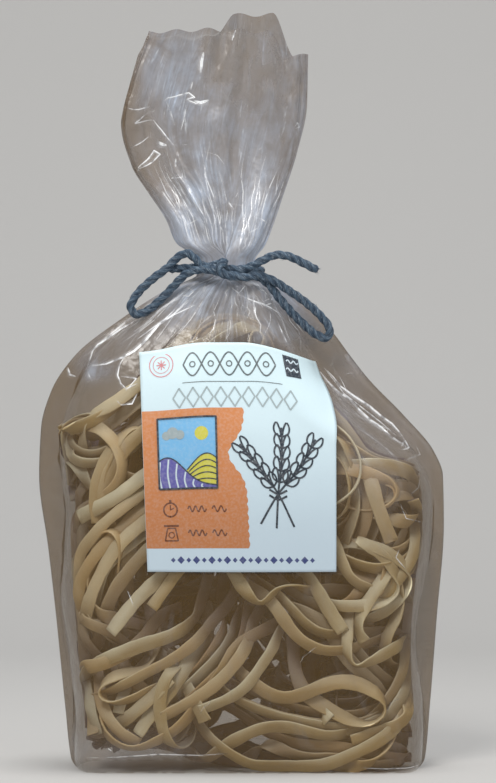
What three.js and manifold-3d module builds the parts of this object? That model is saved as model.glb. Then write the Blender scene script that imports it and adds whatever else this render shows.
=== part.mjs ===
// A clear film bag of dry ribbon pasta nests. It stands on a block bottom, its neck is gathered and
// tied with a cord bow, its open mouth flares out above the tie, and a paper label is stuck on its
// front. Millimetres, +Z up, front towards -Y, the origin at the middle of the base.
import * as THREE from "three";
import { mergeVertices } from "three/addons/utils/BufferGeometryUtils.js";
import Module from "manifold-3d";

// ---- Driving dimensions -------------------------------------------------------------------------

const NECK_HEIGHT = 251; // middle of the tied neck
const TOP_HEIGHT = 378; // highest point of the flared mouth
const HALF_TURN = Math.PI;

// Each outline is a list of [height, value] pairs, from the base to the mouth.
const LEFT_EDGE = curveThrough([
  [0, -83], [4, -85.5], [30, -88.5], [75, -93], [110, -97], [146, -101.5], [170, -100.5],
  [188, -95.5], [206, -83.5], [226, -58], [240, -36], [246.5, -22.5], [254, -22.5], [263, -32],
  [275, -36.5], [288, -44], [306, -54.5], [328, -59.5], [352, -55], [378, -46.5],
]);
const RIGHT_EDGE = curveThrough([
  [0, 89], [4, 91.5], [30, 94], [75, 97.5], [122, 101], [146, 100.5], [158, 96], [176, 81],
  [194, 63.5], [206, 54], [218, 45], [232, 30], [240, 19], [246.5, 6.5], [254, 6.5], [263, 11.5],
  [275, 15.5], [291, 20], [319, 27.5], [348, 32.5], [378, 33],
]);
// Empty film folded flat at each side, between the edge and the filled part.
const LEFT_WING = curveThrough([
  [0, 1], [30, 5], [75, 3], [110, 8], [134, 12], [165, 10], [190, 12], [206, 10], [226, 8],
  [247, 1], [378, 1],
]);
const RIGHT_WING = curveThrough([
  [0, 1], [30, 4], [70, 9], [134, 6], [152, 9], [166, 16], [181, 23], [194, 23], [206, 20],
  [226, 16], [247, 1], [378, 1],
]);
// The filled part's round sides, its depth in front of and behind the middle, and the wing's own.
const SIDE_ROUND = curveThrough([
  [0, 9], [8, 12], [40, 26], [100, 34], [165, 32], [205, 25], [225, 18], [240, 13], [247, 14],
  [255, 14], [268, 16], [378, 16],
]);
const DEPTH = curveThrough([
  [0, 28], [4, 31], [10, 31.5], [60, 35], [125, 35], [165, 32], [205, 25], [225, 18], [240, 12],
  [247, 8.5], [255, 8.5], [268, 6], [300, 3.5], [378, 4],
]);
const WING_DEPTH = curveThrough([
  [0, 1], [20, 3], [120, 5], [215, 4], [247, 2], [255, 2], [300, 2.5], [378, 3],
]);
const CROWN = curveThrough([
  [0, 0], [12, 1], [60, 2.5], [190, 2.5], [225, 1], [247, 0], [378, 0],
]);
// Depth of the pleats that run out from the neck, both down the shoulders and up the mouth.
const PLEAT_DEPTH = curveThrough([
  [0, 0], [212, 0], [228, 1.3], [239, 1.5], [247, 0.35], [255, 0.35], [266, 1.3], [310, 1.7],
  [378, 2.2],
]);
const PLEATS = [
  { count: 9, phase: 0.6, share: 0.6 },
  { count: 16, phase: 2.1, share: 0.4 },
];
// Bumps that the nests press into the film.
const BUMP = { depth: 1.6, acrossEvery: 88, upEvery: 96, phaseAcross: 0.7, phaseUp: 0.4 };
const FRONT_BUMP_TOP = [86, 96]; // the front is smooth from here up, under the label
const BACK_BUMP_TOP = [190, 214];
// The flared mouth waves from front to back, and leans back a little.
const MOUTH_WAVE = { depth: 4.5, every: 47, offset: 6, from: 262, to: 325 };
const MOUTH_LEAN = 3;
// Heights of the mouth's cut edge, which steps where the film's panels lie apart.
const FRONT_RIM = { left: 368, rise: 0, riseFrom: -15, riseTo: -4, drop: 12.5, dropFrom: 12, dropTo: 24 };
const BACK_RIM = { left: 365, rise: 12, riseFrom: -15, riseTo: -4, drop: 22, dropFrom: 15.5, dropTo: 27 };
const RIM_RIPPLE = { height: 1, every: 16, phase: 1 };

// How a half section is shared out: wing, round side, flat middle, round side, wing.
const WING_SHARE = 0.08;
const ROUND_SHARE = 0.19;
const WING_STEPS = 3;
const ROUND_STEPS = 7;
const FLAT_STEPS = 16;
const BODY_RING_GAP = 8.2;
const BASE_RINGS = [0, 4, 9];
const MOUTH_RINGS = 15;

const LABEL = { bottom: 100.3, top: 212.7, gap: 0.85, thickness: 0.45 };
const LABEL_SIDES = { bottomLeft: -46.3, topLeft: -50.5, right: 46.3 };
const LABEL_TURN = 1.4; // how far round the side the label's corner may lie, in radians
const LABEL_CORNERS = [
  { drop: 4.8, from: -16, to: -52 },
  { drop: 9.5, from: 4, to: 46 },
];
const LABEL_COLUMNS = 18;
const LABEL_ROWS = 18;

const CORD_DIAMETER = 4.5;
const CORD_SIDES = 8;
const CORD_STEP = 3.6;
const CORD_PIECES = 9;
const CORD_OVERLAP = 1.2;
// The bow's route: [across, depth, height]. It runs from the cut end of the right tail into the
// knot, once round the gathered neck, through the left and the right loop, up over the crossing and
// out behind the left loop to the other cut end.
const RIGHT_TAIL = [
  [37.6, -20, 248.2], [30.2, -20.5, 252], [22.8, -21, 255.3], [16.4, -21, 255.8],
  [9.8, -20.5, 253], [5, -19.8, 250.4], [-1.2, -18.8, 248.8],
];
const NECK_WRAP = {
  from: 22, to: 340, steps: 14, halfWidth: 17.4, halfDepth: 13.6, centre: -8, top: 250.2, drop: 2.2,
};
const LEFT_LOOP = [
  [-8.5, -18.2, 248.6], [-14, -18.4, 249.4], [-19.8, -18.4, 250.8], [-23.6, -17.6, 254.6],
  [-27.2, -16.8, 256.8], [-31.6, -16, 255], [-37, -15.5, 249.6], [-44.2, -15, 244.2],
  [-52, -15, 236.6], [-55.2, -15, 230], [-52.6, -15, 226.6], [-47, -15, 228.4],
  [-39.6, -15.2, 234.6], [-33.4, -16, 241], [-27.6, -17.6, 246.6], [-20.6, -19.6, 248.8],
  [-13.5, -20.6, 248],
];
const RIGHT_LOOP = [
  [-6, -21, 246], [0.5, -20.6, 245], [8.4, -19.2, 245.6], [15.2, -17.8, 243.4],
  [22.8, -16, 238.6], [31.2, -15.2, 232.8], [38.6, -15, 226.2], [43.4, -15, 219.4],
  [42.2, -15, 215], [37.4, -15, 216.2], [30.6, -15, 221.6], [24, -15.2, 228.2],
  [18.2, -15, 235], [13.6, -15, 241], [7.5, -15.8, 245.4], [0, -17.4, 246.6],
];
const LEFT_TAIL = [
  [-5.4, -21.4, 245.4], [-9.6, -24, 246.8], [-11, -24.2, 249.6], [-9, -21.6, 251.8],
  [-9.6, -17.2, 252.4], [-15, -15.6, 250.6], [-24, -14.6, 249.6], [-31, -13.6, 249.4],
  [-36.5, -12, 249],
];

// ---- Small helpers ------------------------------------------------------------------------------

// A curve through [height, value] pairs that is smooth and never overshoots them.
function curveThrough(points) {
  const slopes = points
    .slice(1)
    .map(([height, value], i) => (value - points[i][1]) / (height - points[i][0]));
  const tangents = points.map((_, i) => {
    const before = slopes[Math.max(i - 1, 0)];
    const after = slopes[Math.min(i, slopes.length - 1)];
    return before * after > 0 ? (2 * before * after) / (before + after) : 0;
  });
  return (height) => {
    const above = points.findIndex(([at]) => at > height);
    const i = above < 0 ? slopes.length - 1 : Math.max(above - 1, 0);
    const span = points[i + 1][0] - points[i][0];
    const t = THREE.MathUtils.clamp((height - points[i][0]) / span, 0, 1);
    return (
      (1 + 2 * t) * (1 - t) ** 2 * points[i][1] +
      t * (1 - t) ** 2 * span * tangents[i] +
      t * t * (3 - 2 * t) * points[i + 1][1] +
      t * t * (t - 1) * span * tangents[i + 1]
    );
  };
}

const smoothStep = (value, from, to) => {
  const t = THREE.MathUtils.clamp((value - from) / (to - from), 0, 1);
  return t * t * (3 - 2 * t);
};

function meshOf(name, geometry, colour, roughness) {
  geometry.computeVertexNormals();
  const material = new THREE.MeshStandardMaterial({ color: colour, roughness, metalness: 0 });
  const mesh = new THREE.Mesh(geometry, material);
  mesh.name = name;
  return mesh;
}

function geometryOf(points, triangles) {
  const positions = new Float32Array(points.flatMap((p) => p.toArray()));
  return new THREE.BufferGeometry()
    .setAttribute("position", new THREE.BufferAttribute(positions, 3))
    .setIndex(triangles);
}

// ---- The bag's surface --------------------------------------------------------------------------

// The numbers of the cross-section at one height.
function sectionAt(height) {
  const left = LEFT_EDGE(height);
  const right = RIGHT_EDGE(height);
  const round = SIDE_ROUND(height);
  return {
    height,
    left,
    right,
    round,
    leftWing: LEFT_WING(height),
    rightWing: RIGHT_WING(height),
    flatLeft: left + LEFT_WING(height) + round,
    flatRight: right - RIGHT_WING(height) - round,
  };
}

// Where the mouth's middle plane lies, in front of or behind the bag's own.
function middleAt(x, height) {
  const open = smoothStep(height, MOUTH_WAVE.from, MOUTH_WAVE.to);
  const wave = Math.sin((2 * HALF_TURN * (x + MOUTH_WAVE.offset)) / MOUTH_WAVE.every);
  return open * (MOUTH_WAVE.depth * wave + MOUTH_LEAN);
}

// How far the pleats and the nests' bumps push the film out.
function reliefAt(x, height, turn, side) {
  const pleats = PLEATS.reduce(
    (sum, { count, phase, share }) => sum + share * Math.cos(count * turn + phase),
    0,
  );
  const [from, to] = side < 0 ? FRONT_BUMP_TOP : BACK_BUMP_TOP;
  const shown = smoothStep(height, 6, 22) * (1 - smoothStep(height, from, to));
  const across = Math.sin((2 * HALF_TURN * x) / BUMP.acrossEvery + BUMP.phaseAcross);
  const up = Math.sin((2 * HALF_TURN * height) / BUMP.upEvery + BUMP.phaseUp);
  return PLEAT_DEPTH(height) * pleats + BUMP.depth * shown * across * up;
}

// A point of the film, from its place across the section: x, how far the filled part has risen
// there (0 on a wing, 1 on the flat middle), the way the film faces, and the crown's share.
function filmPoint(section, x, rise, facing, crownShare, turn, side, proud = 0) {
  const { height, left, right } = section;
  const across = (2 * x - left - right) / (right - left);
  const wing = WING_DEPTH(height) * Math.sqrt(Math.max(0, 1 - across * across));
  const half = wing + DEPTH(height) * rise + CROWN(height) * crownShare;
  const out = reliefAt(x, height, turn, side) * facing.hold + proud;
  return new THREE.Vector3(
    x + facing.x * out,
    middleAt(x, height) + side * (half + facing.y * out),
    height,
  );
}

// A point of a half section. share runs from 0 at the right edge to 1 at the left edge.
function halfSectionPoint(section, share, side) {
  const leftHand = share > 0.5;
  const fromEdge = leftHand ? 1 - share : share;
  const wing = leftHand ? section.leftWing : section.rightWing;
  const place = { inset: 0, rise: 0, facing: { x: 0, y: 1, hold: 1 }, crown: 0 };
  if (fromEdge < WING_SHARE) {
    const t = fromEdge / WING_SHARE;
    place.inset = wing * t;
    place.facing.hold = t;
  } else if (fromEdge < WING_SHARE + ROUND_SHARE) {
    const angle = (((fromEdge - WING_SHARE) / ROUND_SHARE) * HALF_TURN) / 2;
    place.inset = wing + section.round * (1 - Math.cos(angle));
    place.rise = Math.sin(angle);
    place.facing = { x: Math.cos(angle) * (leftHand ? -1 : 1), y: Math.sin(angle), hold: 1 };
  } else {
    const rounds = WING_SHARE + ROUND_SHARE;
    const t = (fromEdge - rounds) / (0.5 - rounds);
    place.inset = wing + section.round + (t * (section.flatRight - section.flatLeft)) / 2;
    place.rise = 1;
    place.crown = Math.sin((t * HALF_TURN) / 2) ** 2;
  }
  const x = leftHand ? section.left + place.inset : section.right - place.inset;
  const turn = HALF_TURN * (side < 0 ? share : 2 - share);
  return filmPoint(section, x, place.rise, place.facing, place.crown, turn, side);
}

// The height of the mouth's cut edge over a place across the bag.
function rimHeight(x, side) {
  const rim = side < 0 ? FRONT_RIM : BACK_RIM;
  const ripple = Math.cos((2 * HALF_TURN * (x + RIM_RIPPLE.phase)) / RIM_RIPPLE.every);
  return (
    rim.left +
    RIM_RIPPLE.height * ripple +
    rim.rise * smoothStep(x, rim.riseFrom, rim.riseTo) -
    rim.drop * smoothStep(x, rim.dropFrom, rim.dropTo)
  );
}

// Shares of a half section at which the mesh has a column, from edge to edge.
function columnShares() {
  const spread = (from, to, steps) =>
    Array.from({ length: steps }, (_, i) => from + ((to - from) * i) / steps);
  const rounds = WING_SHARE + ROUND_SHARE;
  return [
    ...spread(0, WING_SHARE, WING_STEPS),
    ...spread(WING_SHARE, rounds, ROUND_STEPS),
    ...spread(rounds, 1 - rounds, FLAT_STEPS),
    ...spread(1 - rounds, 1 - WING_SHARE, ROUND_STEPS),
    ...spread(1 - WING_SHARE, 1, WING_STEPS),
    1,
  ];
}

// One ring of the bag: the front from right to left, then the back from left to right. Above the
// neck it is drawn down to the cut edge of each panel.
function bagRing(height) {
  const section = sectionAt(height);
  const top = sectionAt(TOP_HEIGHT);
  const shares = columnShares();
  const place = (share, side) => {
    const point = halfSectionPoint(section, share, side);
    if (height > NECK_HEIGHT) {
      const rim = rimHeight(halfSectionPoint(top, share, side).x, side);
      const drawn = (rim - NECK_HEIGHT) / (TOP_HEIGHT - NECK_HEIGHT);
      point.z = NECK_HEIGHT + (height - NECK_HEIGHT) * drawn;
    }
    return point;
  };
  return [
    ...shares.map((share) => place(share, -1)),
    ...shares.slice(1, -1).reverse().map((share) => place(share, 1)),
  ];
}

// Closes a ring with a strip between its front and its back.
function capTriangles(first, count, upwards) {
  const triangles = [];
  const add = (a, b, c) => triangles.push(...(upwards ? [a, b, c] : [a, c, b]).map((i) => first + i));
  const half = count / 2;
  for (let k = 0; k < half; k++) {
    if (k > 0) add(k, count - k, count - k - 1);
    if (k < half - 1) add(k, count - k - 1, k + 1);
  }
  return triangles;
}

function bagGeometry() {
  const bodyRings = Math.round((NECK_HEIGHT - 4 - BASE_RINGS[2]) / BODY_RING_GAP);
  const heights = [...BASE_RINGS];
  for (let i = 1; i <= bodyRings; i++)
    heights.push(BASE_RINGS[2] + ((NECK_HEIGHT - 4 - BASE_RINGS[2]) * i) / bodyRings);
  heights.push(NECK_HEIGHT, NECK_HEIGHT + 4);
  for (let i = 1; i <= MOUTH_RINGS; i++)
    heights.push(NECK_HEIGHT + 4 + ((TOP_HEIGHT - NECK_HEIGHT - 4) * i) / MOUTH_RINGS);
  const rings = heights.map(bagRing);
  const count = rings[0].length;
  const triangles = [];
  for (let ring = 0; ring < rings.length - 1; ring++)
    for (let j = 0; j < count; j++) {
      const [a, b] = [ring * count + j, ring * count + ((j + 1) % count)];
      triangles.push(a, a + count, b, b, a + count, b + count);
    }
  triangles.push(...capTriangles(0, count, false));
  triangles.push(...capTriangles((rings.length - 1) * count, count, true));
  return geometryOf(rings.flat(), triangles);
}

// ---- The label ----------------------------------------------------------------------------------

// A point of the front, by how far along the film it lies from the bag's middle, and how proud.
function frontPoint(along, height, proud) {
  const section = sectionAt(height);
  const { flatLeft, flatRight, round } = section;
  const leftHand = along < (flatLeft + flatRight) / 2;
  const past = leftHand ? flatLeft - along : along - flatRight;
  if (past > 0) {
    const angle = HALF_TURN / 2 - past / round;
    const x = (leftHand ? flatLeft : flatRight) + (leftHand ? -1 : 1) * round * Math.cos(angle);
    const facing = { x: Math.cos(angle) * (leftHand ? -1 : 1), y: Math.sin(angle), hold: 0 };
    return filmPoint(section, x, Math.sin(angle), facing, 0, 0, -1, proud);
  }
  const crown = Math.sin((HALF_TURN * (along - flatLeft)) / (flatRight - flatLeft)) ** 2;
  return filmPoint(section, along, 1, { x: 0, y: 1, hold: 0 }, crown, 0, -1, proud);
}

// The label's grid of places: along the film and up. Its top corners have slipped down, and the
// right one is turned round the side as far as the film is round there.
function labelPlace(across, up) {
  const left = THREE.MathUtils.lerp(LABEL_SIDES.bottomLeft, LABEL_SIDES.topLeft, up);
  const along = THREE.MathUtils.lerp(left, LABEL_SIDES.right, across);
  const slip = LABEL_CORNERS.reduce((sum, c) => sum + c.drop * smoothStep(along, c.from, c.to), 0);
  const height = THREE.MathUtils.lerp(LABEL.bottom, LABEL.top - slip, up);
  const { flatRight, round } = sectionAt(height);
  const reach = Math.min(LABEL_SIDES.right, flatRight + LABEL_TURN * round);
  return { along: THREE.MathUtils.lerp(left, reach, across), height };
}

function labelGeometry() {
  const points = [];
  for (const proud of [LABEL.gap, LABEL.gap + LABEL.thickness])
    for (let row = 0; row <= LABEL_ROWS; row++)
      for (let column = 0; column <= LABEL_COLUMNS; column++) {
        const { along, height } = labelPlace(column / LABEL_COLUMNS, row / LABEL_ROWS);
        points.push(frontPoint(along, height, proud));
      }
  const width = LABEL_COLUMNS + 1;
  const sheet = width * (LABEL_ROWS + 1);
  const triangles = [];
  const quad = (a, b, c, d) => triangles.push(a, b, c, a, c, d);
  for (let row = 0; row < LABEL_ROWS; row++)
    for (let column = 0; column < LABEL_COLUMNS; column++) {
      const a = row * width + column;
      quad(a, a + width, a + width + 1, a + 1);
      quad(a + sheet, a + sheet + 1, a + sheet + width + 1, a + sheet + width);
    }
  for (let column = 0; column < LABEL_COLUMNS; column++) {
    const top = LABEL_ROWS * width + column;
    quad(column, column + 1, column + 1 + sheet, column + sheet);
    quad(top, top + sheet, top + sheet + 1, top + 1);
  }
  for (let row = 0; row < LABEL_ROWS; row++) {
    const left = row * width;
    const right = left + LABEL_COLUMNS;
    quad(left, left + sheet, left + sheet + width, left + width);
    quad(right, right + width, right + width + sheet, right + sheet);
  }
  return geometryOf(points, triangles);
}

// ---- The tie cord -------------------------------------------------------------------------------

// The cord's middle line.
function cordCurve() {
  const { from, to, steps, halfWidth, halfDepth, centre, top, drop } = NECK_WRAP;
  const wrap = Array.from({ length: steps + 1 }, (_, i) => {
    const angle = THREE.MathUtils.degToRad(THREE.MathUtils.lerp(from, to, i / steps));
    return [
      centre - halfWidth * Math.sin(angle),
      -halfDepth * Math.cos(angle),
      top - (drop * i) / steps,
    ];
  });
  const route = [...RIGHT_TAIL, ...wrap, ...LEFT_LOOP, ...RIGHT_LOOP, ...LEFT_TAIL];
  const points = route.map((place) => new THREE.Vector3(...place));
  return new THREE.CatmullRomCurve3(points, false, "centripetal");
}

// One stretch of the cord as a solid tube.
function cordStretch(curve, from, to) {
  const steps = Math.max(2, Math.round(((to - from) * curve.getLength()) / CORD_STEP));
  const line = Array.from({ length: steps + 1 }, (_, i) =>
    curve.getPointAt(THREE.MathUtils.clamp(from + ((to - from) * i) / steps, 0, 1)),
  );
  const section = new THREE.Shape(
    Array.from({ length: CORD_SIDES }, (_, i) => {
      const angle = (2 * HALF_TURN * i) / CORD_SIDES;
      return new THREE.Vector2(Math.cos(angle), Math.sin(angle)).multiplyScalar(CORD_DIAMETER / 2);
    }),
  );
  const path = new THREE.CatmullRomCurve3(line, false, "centripetal");
  return new THREE.ExtrudeGeometry(section, { steps, extrudePath: path, bevelEnabled: false });
}

function solidOf(wasm, geometry) {
  const bare = geometry.clone();
  bare.deleteAttribute("normal");
  bare.deleteAttribute("uv");
  const merged = mergeVertices(bare, 1e-4);
  return new wasm.Manifold(
    new wasm.Mesh({
      numProp: 3,
      vertProperties: merged.attributes.position.array,
      triVerts: new Uint32Array(merged.index.array),
    }),
  );
}

// The whole cord as one solid: its stretches joined, so that where the knot is drawn tight it is
// one body. Its outermost surface is kept, and the small hollows in the knot are filled.
function cordGeometry(wasm) {
  const curve = cordCurve();
  curve.arcLengthDivisions = 2000;
  const overlap = CORD_OVERLAP / curve.getLength();
  let whole = null;
  for (let i = 0; i < CORD_PIECES; i++) {
    const from = Math.max(0, i / CORD_PIECES - (i ? overlap : 0));
    const piece = solidOf(wasm, cordStretch(curve, from, (i + 1) / CORD_PIECES));
    whole = whole ? whole.add(piece) : piece;
  }
  const outermost = whole.decompose().sort((a, b) => b.volume() - a.volume())[0];
  const made = outermost.getMesh();
  const points = [];
  for (let i = 0; i < made.numVert; i++)
    points.push(new THREE.Vector3().fromArray(made.vertProperties, i * made.numProp));
  return geometryOf(points, Array.from(made.triVerts));
}

// ---- The whole ----------------------------------------------------------------------------------

const wasm = await Module();
wasm.setup();

const bagOfPasta = new THREE.Group();
bagOfPasta.add(
  meshOf("bag", bagGeometry(), 0x9c8b6d, 0.25),
  meshOf("label", labelGeometry(), 0xdfe9ec, 0.6),
  meshOf("tie_cord", cordGeometry(wasm), 0x3d4e5a, 0.9),
);

export default bagOfPasta;
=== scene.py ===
"""A clear film bag of dry ribbon pasta nests, tied with a cord bow and labelled on its front.

Everything is worked out in millimetres and made in metres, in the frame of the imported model: +Z up,
the labelled front towards -Y, the origin in the middle of the base.
"""

import logging
import math
from dataclasses import dataclass, field
from enum import Enum
from typing import Any, Callable, Sequence

import bmesh
import bpy
import numpy as np
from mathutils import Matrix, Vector


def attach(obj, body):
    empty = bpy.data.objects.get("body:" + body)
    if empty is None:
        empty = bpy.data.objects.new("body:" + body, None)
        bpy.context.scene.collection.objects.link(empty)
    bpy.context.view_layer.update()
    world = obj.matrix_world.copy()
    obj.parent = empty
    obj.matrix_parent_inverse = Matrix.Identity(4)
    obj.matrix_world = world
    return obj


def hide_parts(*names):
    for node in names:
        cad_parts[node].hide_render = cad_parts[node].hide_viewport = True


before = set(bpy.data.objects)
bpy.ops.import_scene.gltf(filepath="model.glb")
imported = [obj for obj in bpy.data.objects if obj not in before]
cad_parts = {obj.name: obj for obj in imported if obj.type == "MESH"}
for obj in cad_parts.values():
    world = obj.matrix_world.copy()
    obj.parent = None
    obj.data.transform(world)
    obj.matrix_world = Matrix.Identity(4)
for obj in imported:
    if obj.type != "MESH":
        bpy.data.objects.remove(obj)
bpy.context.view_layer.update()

Array = np.ndarray
Triple = Colour = tuple[float, float, float]
Row = tuple[float, ...]
Socket = bpy.types.NodeSocket
Material = bpy.types.Material
Generator = np.random.Generator
seeded = np.random.default_rng
MM = 0.001
WELD = 1e-6
TURN = 2 * math.pi
WHITE = (1.0, 1.0, 1.0)
LOG = logging.getLogger("pasta_bag")


# ---- Curves and small maths ----


@dataclass(frozen=True)
class Profile:
    """A smooth curve that never overshoots its knots, which hold heights and values in turn."""

    knots: Row

    def at(self, height: Array | float) -> Array:
        """Cubic Hermite pieces whose tangents are harmonic means of the slopes beside a knot.

        Args:
            height: heights.

        Returns:
            The curve's values.
        """
        at, value = np.reshape(self.knots, (-1, 2)).astype(float).T
        slopes = np.diff(value) / np.diff(at)
        before, after = np.r_[slopes[0], slopes], np.r_[slopes, slopes[-1]]
        same_way = before * after > 0
        tangents = 2 * before * after * same_way / np.where(same_way, before + after, 1.0)
        i = np.clip(np.searchsorted(at, height, side="right") - 1, 0, len(slopes) - 1)
        span = at[i + 1] - at[i]
        t = np.clip((height - at[i]) / span, 0, 1)
        return (
            (1 + 2 * t) * (1 - t) ** 2 * value[i] + t * (1 - t) ** 2 * span * tangents[i]
            + t * t * (3 - 2 * t) * value[i + 1] + t * t * (t - 1) * span * tangents[i + 1])


def smooth_step(value: Array | float, start: float, end: float) -> Array:
    """3t^2 - 2t^3, where t runs from 0 at start to 1 at end."""
    t = np.clip((value - start) / (end - start), 0, 1)
    return t * t * (3 - 2 * t)


def bell(value: Array, middle: float, spread: Array | float) -> Array:
    """The bell curve exp(-((value - middle) / spread)^2)."""
    return np.exp(-(((value - middle) / spread) ** 2))


def unit(vectors: Array) -> Array:
    """Each vector divided by its length."""
    return vectors / np.maximum(np.linalg.norm(vectors, axis=-1, keepdims=True), 1e-9)


def vectors(*numbers: Array) -> Array:
    """Numbers side by side, as vectors along a last axis of their own."""
    return np.stack(np.broadcast_arrays(*numbers), axis=-1)


def heading(path: Array) -> Array:
    """The unit direction of a path, or of many, at each of its points."""
    return unit(np.gradient(path, axis=-2))


def sideways(path: Array) -> Array:
    """Unit directions square to a flat path, to its left."""
    ahead = heading(path)
    return vectors(-ahead[:, 1], ahead[:, 0])


def lengths(path: Array) -> Array:
    """The distance along a path to each of its points."""
    return np.r_[0, np.cumsum(np.linalg.norm(np.diff(path, axis=0), axis=1))]


def places(path: Array, at: Array) -> Array:
    """The points of a path at distances along it."""
    return np.stack([np.interp(at, lengths(path), each) for each in path.T], axis=1)


def smooth_path(points: Array, steps: int) -> Array:
    """A centripetal Catmull-Rom curve through points, by the pyramid of weighted means.

    Args:
        points: at least two points.
        steps: how many equal lengths the curve is cut into.

    Returns:
        An array of steps + 1 points.
    """
    p = np.array(points, float)
    p = np.vstack([2 * p[0] - p[1], p, 2 * p[-1] - p[-2]])
    gaps = np.maximum(np.sqrt(np.linalg.norm(np.diff(p, axis=0), axis=1)), 1e-6)
    knots = np.r_[0, np.cumsum(gaps)]
    fine = np.linspace(knots[1], knots[-2], 40 * len(points))[:, None]
    i = np.clip(np.searchsorted(knots, fine[:, 0], side="right") - 1, 1, len(p) - 3)
    q = [p[i + j] for j in (-1, 0, 1, 2)]
    k = [knots[i + j][:, None] for j in (-1, 0, 1, 2)]
    for first, width in ((0, 1), (0, 2), (1, 1)):
        q = [((k[j + first + width] - fine) * q[j] + (fine - k[j + first]) * q[j + 1])
             / (k[j + first + width] - k[j + first]) for j in range(len(q) - 1)]
    return places(q[0], np.linspace(0, lengths(q[0])[-1], steps + 1))


def straight_path(points: Array, steps: int) -> Array:
    """Straight legs through points: about steps even places, and every corner."""
    at = lengths(points)
    return places(np.array(points, float), np.unique(np.r_[np.linspace(0, at[-1], steps + 1), at]))


def waves(draw: Generator, along: Array, slow: float, fast: float) -> Array:
    """Sine waves, one a row of along, each with a start and, from slow to fast, a rate of its own."""
    rate = draw.uniform(slow, fast, (len(along), 1))
    return np.sin(TURN * (rate * along + draw.uniform(0, 1, (len(along), 1))))


# ---- Meshes ----


@dataclass
class MeshParts:
    """Points and faces that are gathered before they become one piece.

    names are the point attributes that each call to add() gives values for.
    """

    names: tuple[str, ...] = ()
    points: list[Array] = field(default_factory=list)
    faces: list[Array] = field(default_factory=list)
    values: list[Array] = field(default_factory=list)
    uvs: list[Array] = field(default_factory=list)
    count: int = 0

    def add(self, points: Array, faces: Array, values: Any = 0.0, uv: Any = 0.0) -> None:
        """Adds points and the faces between them.

        Args:
            points: places in millimetres, in any grid.
            faces: four point numbers a face, counted from the call's first point.
            values: a number for each point and name.
            uv: a UV place for each point.
        """
        points, grid = np.reshape(points, (-1, 3)), np.shape(points)[:-1]
        self.points.append(points)
        self.faces.append(np.reshape(faces, (-1, 4)) + self.count)
        for kept, given, width in ((self.values, values, len(self.names)), (self.uvs, uv, 2)):
            kept.append(np.broadcast_to(given, (*grid, width)).reshape(len(points), width))
        self.count += len(points)

    def piece(self, name: str, material: Material, weld: bool = False) -> bpy.types.Object:
        """Makes the mesh object, in metres, smooth shaded.

        Args:
            name: the piece's name.
            material: its material.
            weld: whether points that lie on each other are merged.

        Returns:
            The new object, linked to the scene.
        """
        mesh = bpy.data.meshes.new(name)
        corners = [tuple(dict.fromkeys(face)) for face in np.vstack(self.faces).tolist()]
        mesh.from_pydata(np.vstack(self.points) * MM, [], corners)
        mesh.update()
        for label, values in zip(self.names, np.vstack(self.values).T.astype(np.float32)):
            attribute = mesh.attributes.new(label, "FLOAT", "POINT")
            attribute.data.foreach_set("value", np.ascontiguousarray(values))
        uv = np.vstack(self.uvs)
        if np.ptp(uv) > 0:
            corner_points = np.empty(len(mesh.loops), int)
            mesh.loops.foreach_get("vertex_index", corner_points)
            layer = mesh.uv_layers.new(name="UVMap")
            layer.data.foreach_set("uv", uv[corner_points].astype(np.float32).ravel())
        if weld:
            merged = bmesh.new()
            merged.from_mesh(mesh)
            bmesh.ops.remove_doubles(merged, verts=merged.verts, dist=WELD)
            merged.to_mesh(mesh)
            merged.free()
        mesh.shade_smooth()
        mesh.materials.append(material)
        made = bpy.data.objects.new(name, mesh)
        bpy.context.scene.collection.objects.link(made)
        return made


def grid_faces(rows: int, columns: int, closed: bool = False) -> Array:
    """Four-sided faces between a grid's points, which are numbered row by row.

    Args:
        rows: the number of rows.
        columns: the number of points in a row.
        closed: whether the last column meets the first.

    Returns:
        Point numbers, anticlockwise from column to row.
    """
    row, column = np.meshgrid(np.arange(rows - 1), np.arange(columns - (not closed)), indexing="ij")
    here, right = row * columns + column, row * columns + (column + 1) % columns
    return vectors(here, right, right + columns, here + columns).reshape(-1, 4)


def keep(piece: bpy.types.Object, slot: str, *nodes: str) -> bpy.types.Object:
    """Rides a piece on the root and reports it. Film casts no shadow.

    Args:
        piece: the finished piece.
        slot: its kind of piece; film casts no shadow.
        nodes: the solids that it replaces.

    Returns:
        The piece.
    """
    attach(piece, "root")
    if nodes:
        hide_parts(*nodes)
    if slot == "film":
        piece.visible_shadow = False
    LOG.info("%s: %d points, %d faces", piece.name, len(piece.data.vertices), len(piece.data.polygons))
    return piece


# ---- Shader maths ----


class Signal:
    """A shader socket that takes part in arithmetic: each operator adds one Math node."""

    def __init__(self, maker: "NodeMaker", socket: Socket) -> None:
        """Wraps a socket of the node maker's tree."""
        self.maker = maker
        self.socket = socket

    def _math(self, operation: str, *values: Any, clamp: bool = False) -> "Signal":
        """A Math node on values, each a number or a Signal."""
        settings = {"operation": operation, "use_clamp": clamp}
        return self.maker.signal("Math", settings, dict(enumerate(values)))

    def __add__(self, other: Any) -> "Signal":
        """self + other."""
        return self._math("ADD", self, other)

    def __sub__(self, other: Any) -> "Signal":
        """self - other."""
        return self._math("SUBTRACT", self, other)

    def __rsub__(self, other: Any) -> "Signal":
        """other - self."""
        return self._math("SUBTRACT", other, self)

    def __mul__(self, other: Any) -> "Signal":
        """self * other."""
        return self._math("MULTIPLY", self, other)

    __radd__ = __add__
    __rmul__ = __mul__

    def clamped(self) -> "Signal":
        """self, held between 0 and 1."""
        return self._math("ADD", self, 0.0, clamp=True)

    def ramp(self, start: float, end: float) -> "Signal":
        """0 at start and 1 at end, with a smooth step between them."""
        sockets = {"Value": self, "From Min": start, "From Max": end}
        return self.maker.signal("MapRange", {"interpolation_type": "SMOOTHSTEP"}, sockets)


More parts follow.
